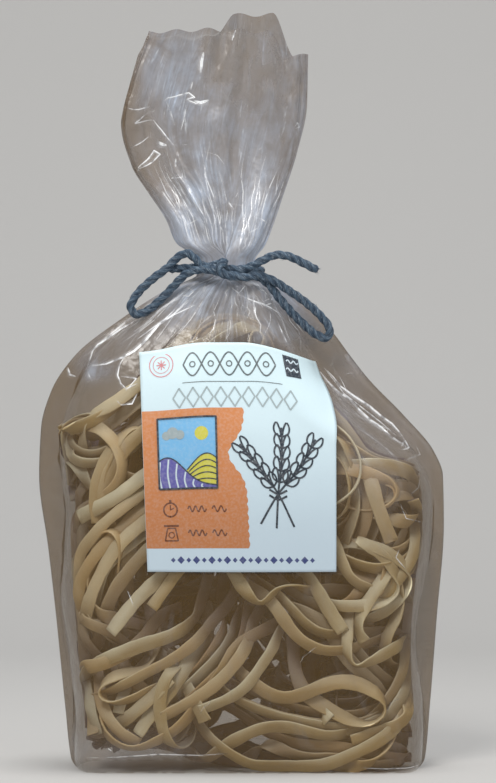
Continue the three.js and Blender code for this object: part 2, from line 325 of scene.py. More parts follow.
class NodeMaker:
    """One material's node tree, with a method for each kind of node that the finishes use."""

    def __init__(self, name: str) -> None:
        """Makes the material with an empty tree, its output and its Principled shader.

        Args:
            name: the material's name.
        """
        self.material = bpy.data.materials.new(name)
        self.material.use_nodes = True
        self.tree = self.material.node_tree
        self.tree.nodes.clear()
        self.shader = self.node("BsdfPrincipled", {}, {})
        self.node("OutputMaterial", {}, {"Surface": self.shader.outputs[0]})

    def node(self, kind: str, settings: dict[str, Any], sockets: dict[Any, Any]) -> bpy.types.Node:
        """Adds a node: its settings come first, then the values or links of its sockets.

        Args:
            kind: the node's type, without the word that they all start with.
            settings: the node's attributes.
            sockets: a number, colour, Signal or socket for each input, by its name or number.

        Returns:
            The node.
        """
        made = self.tree.nodes.new(f"ShaderNode{kind}")
        for setting, value in settings.items():
            setattr(made, setting, value)
        self.feed(made, sockets)
        return made

    def signal(self, kind: str, settings: dict[str, Any], sockets: dict[Any, Any],
               output: int | str = 0) -> Signal:
        """One output of a new node, ready for arithmetic."""
        return Signal(self, self.node(kind, settings, sockets).outputs[output])

    def feed(self, node: bpy.types.Node, sockets: dict[Any, Any]) -> None:
        """Sets or links a node's inputs.

        Args:
            node: the node.
            sockets: what each input gets, by its name or number.
        """
        for key, value in sockets.items():
            if isinstance(value, Signal):
                value = value.socket
            if isinstance(value, Socket):
                self.tree.links.new(value, node.inputs[key])
            else:
                node.inputs[key].default_value = value

    def shade(self, **sockets: Any) -> Material:
        """Sets or links the Principled shader's inputs, named with underscores for spaces."""
        self.feed(self.shader, {name.replace("_", " "): value for name, value in sockets.items()})
        return self.material

    def place(self, scale: Sequence[float] = (1, 1, 1), source: str = "Object") -> Socket:
        """Object coordinates or the UV map, stretched."""
        coordinates = self.node("TexCoord", {}, {}).outputs[source]
        return self.node("Mapping", {}, {"Vector": coordinates, "Scale": scale}).outputs[0]

    def split(self, vector: Socket) -> tuple[Signal, Signal, Signal]:
        """The three numbers of a vector."""
        return tuple(Signal(self, each) for each in self.node("SeparateXYZ", {}, {0: vector}).outputs)

    def noise(self, vector: Socket, *numbers: float) -> Signal:
        """Fractal noise, about 0.5 on average, by its scale, detail, roughness and distortion."""
        names = ("Vector", "Scale", "Detail", "Roughness", "Distortion")
        return self.signal("TexNoise", {}, dict(zip(names, (vector, *numbers))))

    def cracks(self, vector: Socket, scale: float) -> Signal:
        """The distance to the nearest edge between Voronoi cells."""
        sockets = {"Vector": vector, "Scale": scale}
        return self.signal("TexVoronoi", {"feature": "DISTANCE_TO_EDGE"}, sockets, "Distance")

    def attribute(self, name: str) -> Signal:
        """A point attribute of the mesh."""
        return self.signal("Attribute", {"attribute_name": name}, {}, "Fac")

    def mix(self, share: Signal | float, first: Any, second: Any,
            blend: str = "MIX") -> Socket:
        """A Mix node on two colours.

        Args:
            share: how much of the second lies over the first.
            first: a colour or a socket.
            second: a colour or a socket.
            blend: how the second lies over the first.

        Returns:
            The mixed colour.
        """
        first, second = ((*each, 1.0) if isinstance(each, tuple) else each for each in (first, second))
        settings = {"data_type": "RGBA", "clamp_factor": True, "blend_type": blend}
        return self.node("Mix", settings, {0: share, 6: first, 7: second}).outputs[2]

    def bump(self, height: Signal, strength: float, distance: float, **under: Any) -> Socket:
        """A Bump node on a height, laid over another one if it is given as Normal."""
        sockets = {"Height": height, "Strength": strength, "Distance": distance, **under}
        return self.node("Bump", {}, sockets).outputs[0]


# ---- Finishes ----


@dataclass(frozen=True)
class FilmFinish:
    """Clear crinkled film: faintly brown, and clouded and streaked where gathered, with painted sheen and
    highlights.
    """

    tint: Colour = (0.152, 0.087, 0.024)
    # the colour of the milky clouding: partly the film's own whitening, partly painted sheen
    haze_and_painted_sheen: Colour = (0.48, 0.545, 0.66)
    # the colour of specks of painted highlight on the gathered film
    painted_glint: Colour = (0.85, 0.88, 0.92)
    veil: float = 0.48
    roughness: float = 0.19

    def material(self) -> Material:
        """Builds the material.

        The attribute gather says how closely the film is gathered, with clouded patches added, and sets
        its milky clouding, which is partly painted sheen; flat is above 0 where each layer is denser.

        Returns:
            The material.
        """
        make = NodeMaker("crinkled_film")
        place, gather = make.place(), make.attribute("gather")
        clouds = make.noise(place, 34.0, 4.0, 0.65, 0.5)
        mottle = make.noise(place, 120.0, 3.0, 0.65)
        drawn = make.noise(make.place((40, 2.6, 1), "UV"), 1.0, 3.0, 0.6, 1.2)
        fine = make.noise(make.place((130, 4.0, 1), "UV"), 1.0, 3.0, 0.6, 0.5)
        patchy = clouds.ramp(0.32, 0.68) * 0.42 + drawn.ramp(0.35, 0.68) * 0.26 + mottle * 0.36 + 0.14
        scratches = fine.ramp(0.5, 0.68) * clouds.ramp(0.4, 0.62)
        # milky clouding: partly the film's own whitening, partly painted sheen
        haze_and_painted_sheen = gather * patchy + scratches * (gather * 0.22 + 0.04)
        haze_and_painted_sheen = (haze_and_painted_sheen + drawn.ramp(0.56, 0.78) * 0.1).clamped()
        # specks of painted highlight where the film is gathered
        painted_glints = (fine.ramp(0.56, 0.7) * mottle.ramp(0.48, 0.66) * gather).clamped()
        colour = make.mix(haze_and_painted_sheen, self.tint, self.haze_and_painted_sheen)
        colour = make.mix(painted_glints * 0.7, colour, self.painted_glint)
        alpha = (haze_and_painted_sheen * 0.42 + painted_glints * 0.25 + make.attribute("flat") * 0.08 + self.veil).clamped()
        relief = make.bump(clouds + drawn * 0.5, 0.4, 0.0026)
        relief = make.bump(make.noise(place, 75.0, 3.0, 0.5, 0.4), 0.35, 0.0014, Normal=relief)
        relief = make.bump(make.cracks(place, 110.0), 0.3, 0.0011, Normal=relief)
        roughness = gather.ramp(0.2, 0.9) * 0.2 + self.roughness
        return make.shade(
            Base_Color=colour, Alpha=alpha, Normal=relief, Roughness=roughness, Specular_IOR_Level=0.7,
            IOR=1.45)


@dataclass(frozen=True)
class CreaseGlintFinish:
    """A pressed fold in the film, where it lies double, drawn as a painted highlight along it."""

    # colours of the painted highlight along a fold, where it is whole and where it is broken
    painted_fold_glint: Colour = (0.97, 0.985, 1.0)
    painted_fold_glint_dim: Colour = (0.7, 0.72, 0.76)

    def material(self) -> Material:
        """Builds the material. The attribute strength is 0 at a fold's ends and soft side.

        Returns:
            The material.
        """
        make = NodeMaker("pressed_fold_glint")
        broken = make.noise(make.place(), 210.0, 2.0).ramp(0.34, 0.54)
        alpha = (make.attribute("strength") * (broken * 0.75 + 0.4)).clamped()
        colour = make.mix(broken, self.painted_fold_glint_dim, self.painted_fold_glint)
        return make.shade(Base_Color=colour, Alpha=alpha, Roughness=0.2, Specular_IOR_Level=0.9)


@dataclass(frozen=True)
class PastaFinish:
    """Dry dough: matt, mottled, drawn with fine rolling marks, paler along its edges, with a painted
    highlight and painted shade.
    """

    # pale dough, which the painted highlight also mixes towards
    pale: Colour = (1.0, 0.95, 0.7)
    deep: Colour = (0.58, 0.435, 0.205)
    warm: Colour = (0.74, 0.5, 0.23)
    speck: Colour = (0.45, 0.28, 0.12)
    # the colour of the painted shade deep in the bag
    painted_shade: Colour = (0.085, 0.078, 0.13)

    def material(self) -> Material:
        """Builds the material.

        The attributes tone and warmth set each ribbon's own tone. A painted highlight makes the dough paler
        where it faces up to the front, and painted shade darkens it deep in the bag and where it faces
        inwards.

        Returns:
            The material.
        """
        make = NodeMaker("dry_dough")
        place = make.place()
        clouds = make.noise(place, 60.0, 3.0)
        marks = make.noise(make.place((1.2, 5.0, 1), "UV"), 2.0, 3.0, 0.6)
        edge = make.split(make.place(source="UV"))[1]
        light = make.attribute("tone") * 0.6 + clouds * 0.9 + marks * 0.35
        light = light + (edge * edge).ramp(0.6, 1.0) * 0.2
        # painted highlight where the dough faces up to the front
        light = light + make.attribute("painted_highlight").ramp(0.25, 1.0) * 0.75 - 0.78
        colour = make.mix(light.clamped(), self.deep, self.pale)
        colour = make.mix((make.attribute("warmth") * clouds * 1.5).clamped(), colour, self.warm)
        colour = make.mix(make.noise(place, 1100.0, 1.0).ramp(0.66, 0.78) * 0.2, colour, self.speck)
        # painted shade deep in the bag and where the dough faces inwards
        colour = make.mix(make.attribute("unshaded"), self.painted_shade, colour)
        relief = make.bump(make.noise(place, 1500.0, 2.0) * 0.35 + marks * 1.2, 0.4, 0.0005)
        return make.shade(
            Base_Color=colour, Roughness=(clouds * 0.25 + 0.36).clamped(), Normal=relief,
            Specular_IOR_Level=0.4)


@dataclass(frozen=True)
class PaperFinish:
    """Smooth label paper: cool white, with painted shade that darkens it towards its foot, and faint
    fibres.
    """

    # the paper's white at its top, and the same white in painted shade at its foot
    top: Colour = (0.7, 0.87, 0.92)
    foot: Colour = (0.53, 0.64, 0.72)
    fibre: Colour = (0.5, 0.55, 0.6)

    def material(self) -> Material:
        """Builds the material.

        Returns:
            The material.
        """
        make = NodeMaker("label_paper")
        place = make.place()
        fibres, clouds = make.noise(place, 900.0, 3.0), make.noise(place, 40.0, 2.0)
        # painted shade: darker towards the label's foot
        colour = make.mix(make.split(place)[2].ramp(0.1, 0.215), self.foot, self.top)
        colour = make.mix(fibres.ramp(0.55, 0.8) * 0.1, colour, self.fibre)
        relief = make.bump(fibres * 0.3 + clouds, 0.12, 0.0006)
        return make.shade(Base_Color=colour, Roughness=(clouds * 0.15 + 0.42).clamped(), Normal=relief)


@dataclass(frozen=True)
class InkFinish:
    """A printed field: ink with a little mottle, through which the paper's fibres show."""

    name: str
    colour: Colour
    mottle: float = 0.14
    # how much of the ink's colour is left in the painted shade at the label's foot
    painted_foot_shade: float = 0.7

    def material(self) -> Material:
        """Builds the material. Like the paper, painted shade makes it darker towards the label's foot.

        Returns:
            The material.
        """
        make = NodeMaker(self.name)
        place = make.place()
        fibres = make.noise(place, 800.0, 3.0)
        faded = tuple(channel * (1 - self.mottle) + 0.8 * self.mottle for channel in self.colour)
        colour = make.mix(fibres.ramp(0.35, 0.75), self.colour, faded)
        # painted shade towards the label's foot
        shade = make.mix(make.split(place)[2].ramp(0.1, 0.19), (self.painted_foot_shade,) * 3, WHITE)
        colour = make.mix(1.0, colour, shade, "MULTIPLY")
        relief = make.bump(fibres, 0.08, 0.0003)
        return make.shade(Base_Color=colour, Roughness=(fibres * 0.15 + 0.4).clamped(), Normal=relief)


@dataclass(frozen=True)
class CordFinish:
    """Twisted cord of heathered slate blue: pale fibres over dark ones, and grooves darkened by painted
    shade.
    """

    crown: Colour = (0.105, 0.165, 0.235)
    # the painted shade in the grooves between strands, also the colour of the dark fibres
    groove: Colour = (0.028, 0.048, 0.08)
    fibre: Colour = (0.44, 0.52, 0.6)

    def material(self) -> Material:
        """Builds the material. The attribute crown is 1 on a strand's crown and 0 in a groove, where
        painted shade darkens it.

        Returns:
            The material.
        """
        make = NodeMaker("paper_cord")
        fibres = make.noise(make.place((9.0, 4.0, 1), "UV"), 1.0, 4.0, 0.7)
        dark = make.noise(make.place((7.0, 3.0, 1), "UV"), 1.7, 3.0, 0.6)
        crown = make.attribute("crown") * 0.8 + make.noise(make.place(), 260.0, 2.0) * 0.5 - 0.2
        # painted shade: darker in the grooves between strands
        colour = make.mix(crown.clamped(), self.groove, self.crown)
        # dark fibres, in the colour of the painted groove shade
        colour = make.mix(dark.ramp(0.5, 0.66) * 0.6, colour, self.groove)
        colour = make.mix(fibres.ramp(0.5, 0.62) * 0.55, colour, self.fibre)
        relief = make.bump(fibres + dark * 0.6, 0.9, 0.001)
        return make.shade(
            Base_Color=colour, Roughness=(fibres * 0.2 + 0.72).clamped(), Normal=relief,
            Specular_IOR_Level=0.25)


@dataclass(frozen=True)
class FloorFinish:
    """A plain pale studio sweep, which is clear when it is looked at from behind."""

    colour: Colour = (0.6, 0.59, 0.575)

    def material(self) -> Material:
        """Builds the material.

        Returns:
            The material.
        """
        make = NodeMaker("pale_sweep")
        darker = tuple(channel * 0.97 for channel in self.colour)
        colour = make.mix(make.noise(make.place(), 3.0, 2.0), self.colour, darker)
        alpha = 1.0 - make.signal("NewGeometry", {}, {}, "Backfacing")
        return make.shade(Base_Color=colour, Alpha=alpha, Roughness=0.85, Specular_IOR_Level=0.2)


# ---- The bag's shape ----


class Side(Enum):
    """The front or the back of the bag, as the sign of its depth."""

    FRONT = -1
    BACK = 1


@dataclass(frozen=True)
class BagShape:
    """The film's surface: half sections of two flat wings, two round sides and a crowned middle.

    A row of pleats has a height, a number round the bag and a start. bump has a height and two wave
    lengths, across and upwards. lean has the mouth's offset, its wave's height and its length. Each
    panel's rim has a height and two steps, each with its rise, start and end.
    """

    neck: float = 251.0
    top: float = 378.0
    wing_share: float = 0.08
    round_share: float = 0.19
    pleats: tuple[Triple, ...] = ((0.6, 9, 0.6), (0.4, 16, 2.1))
    bump: Triple = (1.6, 88.0, 96.0)
    lean: Triple = (3.0, 4.5, 47.0)
    front_rim: Row = (368, -12.5, 12, 24, 0, 0, 1)
    back_rim: Row = (365, 12, -15, -4, -22, 15.5, 27)
    left_edge: Profile = Profile((
        0, -83, 4, -85.5, 30, -88.5, 75, -93, 110, -97, 146, -101.5, 170, -100.5, 188, -95.5, 206, -83.5,
        226, -58, 240, -36, 246.5, -22.5, 254, -22.5, 263, -32, 275, -36.5, 288, -44, 306, -54.5,
        328, -59.5, 352, -55, 378, -46.5))
    right_edge: Profile = Profile((
        0, 89, 4, 91.5, 30, 94, 75, 97.5, 122, 101, 146, 100.5, 158, 96, 176, 81, 194, 63.5, 206, 54,
        218, 45, 232, 30, 240, 19, 246.5, 6.5, 254, 6.5, 263, 11.5, 275, 15.5, 291, 20, 319, 27.5,
        348, 32.5, 378, 33))
    left_wing: Profile = Profile((
        0, 1, 30, 5, 75, 3, 110, 8, 134, 12, 165, 10, 190, 12, 206, 10, 226, 8, 247, 1, 378, 1))
    right_wing: Profile = Profile((
        0, 1, 30, 4, 70, 9, 134, 6, 152, 9, 166, 16, 181, 23, 194, 23, 206, 20, 226, 16, 247, 1, 378, 1))
    side_round: Profile = Profile((
        0, 9, 8, 12, 40, 26, 100, 34, 165, 32, 205, 25, 225, 18, 240, 13, 247, 14, 255, 14, 268, 16,
        378, 16))
    depth: Profile = Profile((
        0, 28, 4, 31, 10, 31.5, 60, 35, 125, 35, 165, 32, 205, 25, 225, 18, 240, 12, 247, 8.5, 255, 8.5,
        268, 6, 300, 3.5, 378, 4))
    wing_depth: Profile = Profile((0, 1, 20, 3, 120, 5, 215, 4, 247, 2, 255, 2, 300, 2.5, 378, 3))
    crown: Profile = Profile((0, 0, 12, 1, 60, 2.5, 190, 2.5, 225, 1, 247, 0, 378, 0))
    pleat_depth: Profile = Profile((
        0, 0, 212, 0, 228, 1.3, 239, 1.5, 247, 0.35, 255, 0.35, 266, 1.3, 310, 1.7, 378, 2.2))

    def relief(self, x: Array, z: Array, turn: Array, side: Side) -> Array:
        """Cosine pleats round the neck and the nests' sine bumps.

        Args:
            x: places across the bag.
            z: heights.
            turn: the angle round the bag.
            side: the front, where the bumps end below the label, or the back.

        Returns:
            How far the film stands out.
        """
        pleats = sum(high * np.cos(number * turn + start) for high, number, start in self.pleats)
        start, end = (86, 96) if side is Side.FRONT else (190, 214)
        shown = smooth_step(z, 6, 22) * (1 - smooth_step(z, start, end))
        high, across, up = self.bump
        bumps = np.sin(TURN * x / across + 0.7) * np.sin(TURN * z / up + 0.4)
        return self.pleat_depth.at(z) * pleats + high * shown * bumps

    def flat(self, z: Array) -> tuple[Array, Array]:
        """Where the crowned middle starts and ends, across the bag."""
        left = self.left_edge.at(z) + self.left_wing.at(z) + self.side_round.at(z)
        return left, self.right_edge.at(z) - self.right_wing.at(z) - self.side_round.at(z)

    def past_flat(self, x: Array, z: Array) -> Array:
        """How far a place lies beside the flat middle, or 0 on it."""
        left, right = self.flat(z)
        return np.maximum(np.maximum(left - x, x - right), 0)

    def flare(self, x: Array, z: Array, rise: Array) -> Array:
        """Half the depth: the wings' half ellipse, rise times the depth, and the crown's squared sine.

        Args:
            x: places across the bag.
            z: heights.
            rise: 0 on a wing and 1 on the flat middle.

        Returns:
            Half the depth, with no relief.
        """
        left, right = self.left_edge.at(z), self.right_edge.at(z)
        flat_left, flat_right = self.flat(z)
        across = (2 * x - left - right) / (right - left)
        wing = self.wing_depth.at(z) * np.sqrt(np.clip(1 - across * across, 0, 1))
        share = np.clip((x - flat_left) / np.maximum(flat_right - flat_left, 1e-6), 0, 1)
        return wing + self.depth.at(z) * rise + self.crown.at(z) * np.sin(math.pi * share) ** 2

    def half_depth(self, x: Array, z: Array) -> Array:
        """Half the depth at a place seen from the front: an ellipse's quarter on each side."""
        past = self.past_flat(x, z) / self.side_round.at(z)
        return self.flare(x, z, np.sqrt(np.clip(1 - past**2, 0, 1)))

    def point(self, share: Array, z: Array, side: Side, proud: Array | float = 0.0) -> Array:
        """Points of the film, from share 0 at the right edge to 1 at the left.

        x runs straight along a wing and the middle, and along an ellipse's quarter on a round
        side. The relief and proud push the point out, square to the ellipse. The open mouth's
        middle plane leans and waves by a sine across.

        Args:
            share: places along the half section.
            z: heights.
            side: the front or the back.
            proud: how far to stand off the film.

        Returns:
            Points in millimetres.
        """
        share, z = np.broadcast_arrays(np.asarray(share, float), np.asarray(z, float))
        left, right, round_ = self.left_edge.at(z), self.right_edge.at(z), self.side_round.at(z)
        flat_left, flat_right = self.flat(z)
        left_hand = share > 0.5
        from_edge = np.where(left_hand, 1 - share, share)
        wing = np.where(left_hand, self.left_wing.at(z), self.right_wing.at(z))
        rounds = self.wing_share + self.round_share
        on_wing, on_round = from_edge < self.wing_share, from_edge < rounds
        turn_up = np.clip((from_edge - self.wing_share) / self.round_share, 0, 1) * math.pi / 2
        middle = np.clip((from_edge - rounds) / (0.5 - rounds), 0, 1)
        hold = np.where(on_wing, from_edge / self.wing_share, 1.0)
        inset = wing * hold + round_ * (1 - np.cos(turn_up)) + middle * (flat_right - flat_left) / 2
        x = np.where(left_hand, left + inset, right - inset)
        turn = math.pi * (share if side is Side.FRONT else 2 - share)
        out = self.relief(x, z, turn, side) * hold + proud
        faces_x = np.where(on_round & ~on_wing, np.cos(turn_up) * np.where(left_hand, -1, 1), 0.0)
        faces_y = np.where(on_wing, 1.0, np.sin(turn_up))
        back, swing, wave = self.lean
        lean = smooth_step(z, 262, 325) * (swing * np.sin(TURN * (x + 6) / wave) + back)
        y = lean + side.value * (self.flare(x, z, np.sin(turn_up)) + faces_y * out)
        return vectors(x + faces_x * out, y, z)

    def share_at(self, x: Array, z: Array) -> Array:
        """The inverse of point(), for places seen from the front.

        Args:
            x: places across the bag.
            z: heights.

        Returns:
            Places along the half section.
        """
        flat_left, flat_right = self.flat(z)
        left_hand, round_ = x < (flat_left + flat_right) / 2, self.side_round.at(z)
        inset = np.where(left_hand, x - self.left_edge.at(z), self.right_edge.at(z) - x)
        wing = np.where(left_hand, self.left_wing.at(z), self.right_wing.at(z))
        climb = np.arccos(np.clip(1 - (inset - wing) / round_, 0, 1)) / (math.pi / 2)
        middle = (inset - wing - round_) / np.maximum((flat_right - flat_left) / 2, 1e-6)
        from_edge = (
            self.wing_share * np.clip(inset / wing, 0, 1) + self.round_share * climb
            + (0.5 - self.wing_share - self.round_share) * np.clip(middle, 0, 1))
        return np.where(left_hand, 1 - from_edge, from_edge)

    def rim(self, x: Array, side: Side) -> Array:
        """The height of the mouth's cut edge, which ripples as a cosine and has smooth steps.

        Args:
            x: places across the bag.
            side: the front's panel or the back's.

        Returns:
            The heights.
        """
        high, first, *step, second, start, end = self.front_rim if side is Side.FRONT else self.back_rim
        ripple = np.cos(TURN * (x + 1) / 16)
        return high + ripple + first * smooth_step(x, *step) + second * smooth_step(x, start, end)

    def drawn_down(self, points: Array, share: Array, side: Side) -> Array:
        """The points, drawn down above the neck so that the top ring lies on the cut edge.

        Args:
            points: points of the film.
            share: their places along the half section.
            side: the front or the back.

        Returns:
            The moved points.
        """
        top = self.point(share, np.full(np.shape(share), self.top), side)[..., 0]
        drawn = (self.rim(top, side) - self.neck) / (self.top - self.neck)
        moved = points.copy()
        moved[..., 2] -= np.maximum(points[..., 2] - self.neck, 0) * (1 - drawn)
        return moved


SHAPE = BagShape()


# ---- The film ----


@dataclass
class FilmBag:
    """The clear film: the filled body up to the tied neck, and the mouth that flares above it.

    alone is how much denser the film gets where only one panel is left, and base_looks are the two
    attributes of the base, which is nearly clear. clouds holds rows of five: across, height, half
    width, half height and strength of a clouded patch of milky clouding, partly painted sheen.
    """

    wing_steps: int = 9
    round_steps: int = 32
    flat_steps: int = 66
    ring_gap: float = 1.33
    base_rings: Row = (0.0, 1.2, 2.6, 4.2, 6.0, 8.0)
    half_girth: float = 220.0
    folds: int = 110
    fold_length: tuple[float, float] = (14, 42)
    fold_width: tuple[float, float] = (3, 8)
    fold_height: tuple[float, float] = (0.3, 0.95)
    alone: float = 2.5
    base_looks: tuple[float, float] = (0.0, -5.0)
    seed: int = 11
    clouds: Row = (
        -34, 325, 7, 22, 0.4, -25, 352, 5, 14, 0.3, -45, 347, 5, 20, 0.25, 8, 330, 60, 90, 0.36,
        -20, 290, 9, 22, 0.35, -22, 328, 9, 5, 0.35, 6, 296, 16, 30, 0.25, 14, 268, 8, 12, 0.2,
        -25, 335, 24, 40, 0.25, -72, 198, 8, 5, 0.5, -52, 216, 18, 9, 0.35, -30, 226, 16, 10, 0.25,
        34, 222, 12, 10, 0.35, 52, 186, 12, 14, 0.16, 20, 212, 12, 12, 0.3, -38, 354, 14, 24, 0.26,
        28, 335, 13, 40, 0.25, -2, 224, 24, 13, 0.4, 66, 162, 26, 24, 0.36, -74, 204, 12, 9, 0.25,
        56, 204, 14, 9, 0.22, -62, 8, 34, 12, 0.25)

    def shares(self) -> Array:
        """The columns of points.

        Returns:
            Their places along the half section.
        """
        wing, rounds = SHAPE.wing_share, SHAPE.wing_share + SHAPE.round_share
        steps = (0, self.wing_steps, self.round_steps, self.flat_steps, self.round_steps, self.wing_steps)
        ends = np.cumsum(steps)
        return np.interp(np.arange(ends[-1] + 1), ends, (0, wing, rounds, 1 - rounds, 1 - wing, 1))

    def crumple(self, share: Array, z: Array, side: Side) -> Array:
        """The film's own folds.

        Fine pleats run from the neck as the absolute value of a sine. Over them lie random tents,
        ridges that fall off straight on both sides and smoothly along their length. All of them
        fade out at the edges and the foot, and under the cord and the label.

        Args:
            share: places along the half section.
            z: heights.
            side: the front or the back.

        Returns:
            How far they stand out.
        """
        turn = math.pi * (share if side is Side.FRONT else 2 - share)
        away = np.abs(z - SHAPE.neck)
        near = np.exp(-away / 26) * smooth_step(away, 4, 12)
        drift = 0.35 * np.sin(z / 9) + 0.2 * np.sin(z / 4 + 1)
        high = 0.45 * near * (1 - np.abs(np.sin(13.5 * turn + drift)))
        draw = seeded(self.seed + side.value)
        for _ in range(self.folds):
            right = share * self.half_girth - draw.uniform(6, self.half_girth - 6)
            up = draw.uniform(10, SHAPE.top - 6)
            upright = abs(up - SHAPE.neck) < 70
            angle = draw.normal(math.pi / 2, 0.3) if upright else draw.uniform(0, math.pi)
            length, width, fold = (
                draw.uniform(*each) for each in (self.fold_length, self.fold_width, self.fold_height))
            across = right * math.sin(angle) - (z - up) * math.cos(angle)
            down = right * math.cos(angle) + (z - up) * math.sin(angle)
            tent = np.clip(1 - np.abs(across) / width, 0, 1)
            high = high + fold * tent * np.clip(1 - (down / length) ** 2, 0, 1) ** 2
        free = smooth_step(away, 4, 13)
        if side is Side.FRONT:
            x = SHAPE.point(share, z, side)[..., 0]
            under = smooth_step(x, -60, -53) * (1 - smooth_step(x, 50, 57))
            free = free * (1 - 0.85 * under * smooth_step(z, 90, 97) * (1 - smooth_step(z, 214, 222)))
        edge = np.minimum(share, 1 - share)
        return high * smooth_step(edge, 0.0, 0.06) * smooth_step(z, 3, 14) * free

    def looks(self, points: Array, share: Array, side: Side) -> Array:
        """The film's two attributes: how closely it is gathered, and how much denser it is.

        The first is a bell curve about the neck and one across and upwards for each clouded patch of
        milky clouding, which is partly painted sheen.
        The second is 1 on the wings and most of the round sides, where the film is seen edge on,
        more where the other panel ends lower down, and 0 elsewhere.

        Args:
            points: points of the film.
            share: their places along the half section.
            side: the front or the back.

        Returns:
            Two numbers for each point.
        """
        x, z = points[..., 0], points[..., 2]
        total = bell(z, SHAPE.neck, np.where(z < SHAPE.neck, 21.0, 34.0))
        # clouded patches: milky clouding, partly painted sheen
        for across, height, wide, tall, strength in np.reshape(self.clouds, (-1, 5)):
            total = total + strength * bell(x, across, wide) * bell(z, height, tall)
        wing = SHAPE.wing_share
        flat = 1 - smooth_step(np.minimum(share, 1 - share), wing + 0.06, wing + 0.17)
        alone = smooth_step(z - SHAPE.rim(x, Side(-side.value)), -0.4, 0.6)
        return vectors(np.clip(total, 0, 1), flat + self.alone * alone)

    def tube(self, heights: Array) -> MeshParts:
        """Rings round the bag, over the front from right to left and back behind it.

        Args:
            heights: the rings' heights before the mouth is drawn down.

        Returns:
            The mesh.
        """
        shares, rows = self.shares(), heights[:, None]
        grids = []
        for side, share in ((Side.FRONT, shares), (Side.BACK, shares[-2:0:-1])):
            made = SHAPE.point(share, rows, side, self.crumple(share + 0 * rows, rows, side))
            made = SHAPE.drawn_down(made, share, side)
            looks = self.looks(made, share + 0 * rows, side)
            turns = (share / 2 if side is Side.FRONT else 1 - share / 2) + 0 * rows
            grids.append(np.concatenate([made, looks, vectors(turns, rows / 100)], axis=-1))
        grid = np.concatenate(grids, axis=1)
        parts = MeshParts(("gather", "flat"))
        faces = grid_faces(*grid.shape[:2], closed=True)[:, ::-1]
        parts.add(grid[..., :3], faces, grid[..., 3:5], grid[..., 5:])
        return parts

    def build(self) -> None:
        """Makes the body and the mouth, and the flat base from straight strips, front to back."""
        neck, top, start = SHAPE.neck, SHAPE.top, self.base_rings[-1]
        steps = round((neck - start) / self.ring_gap)
        body = self.tube(np.r_[self.base_rings, np.linspace(start, neck, steps + 1)[1:]])
        shares, across = self.shares(), np.linspace(0, 1, 25)[:, None, None]
        front, back = (SHAPE.point(shares, 0.0 * shares, side) for side in Side)
        base = front * (1 - across) + back * across
        body.add(base, grid_faces(*base.shape[:2])[:, ::-1], self.base_looks)
        mouth = self.tube(np.linspace(neck, top, round((top - neck) / self.ring_gap)))
        finish = FilmFinish().material()
        keep(body.piece("film_body", finish, weld=True), "film", "bag")
        keep(mouth.piece("film_mouth", finish), "film", "bag")


# ---- The pasta ----


@dataclass(frozen=True)
class Nest:
    """One nest: where it lies, which way its axis points, the size of its loops and their number."""

    name: str
    centre: Triple
    axis: Triple
    reach: float
    ribbons: int = 11


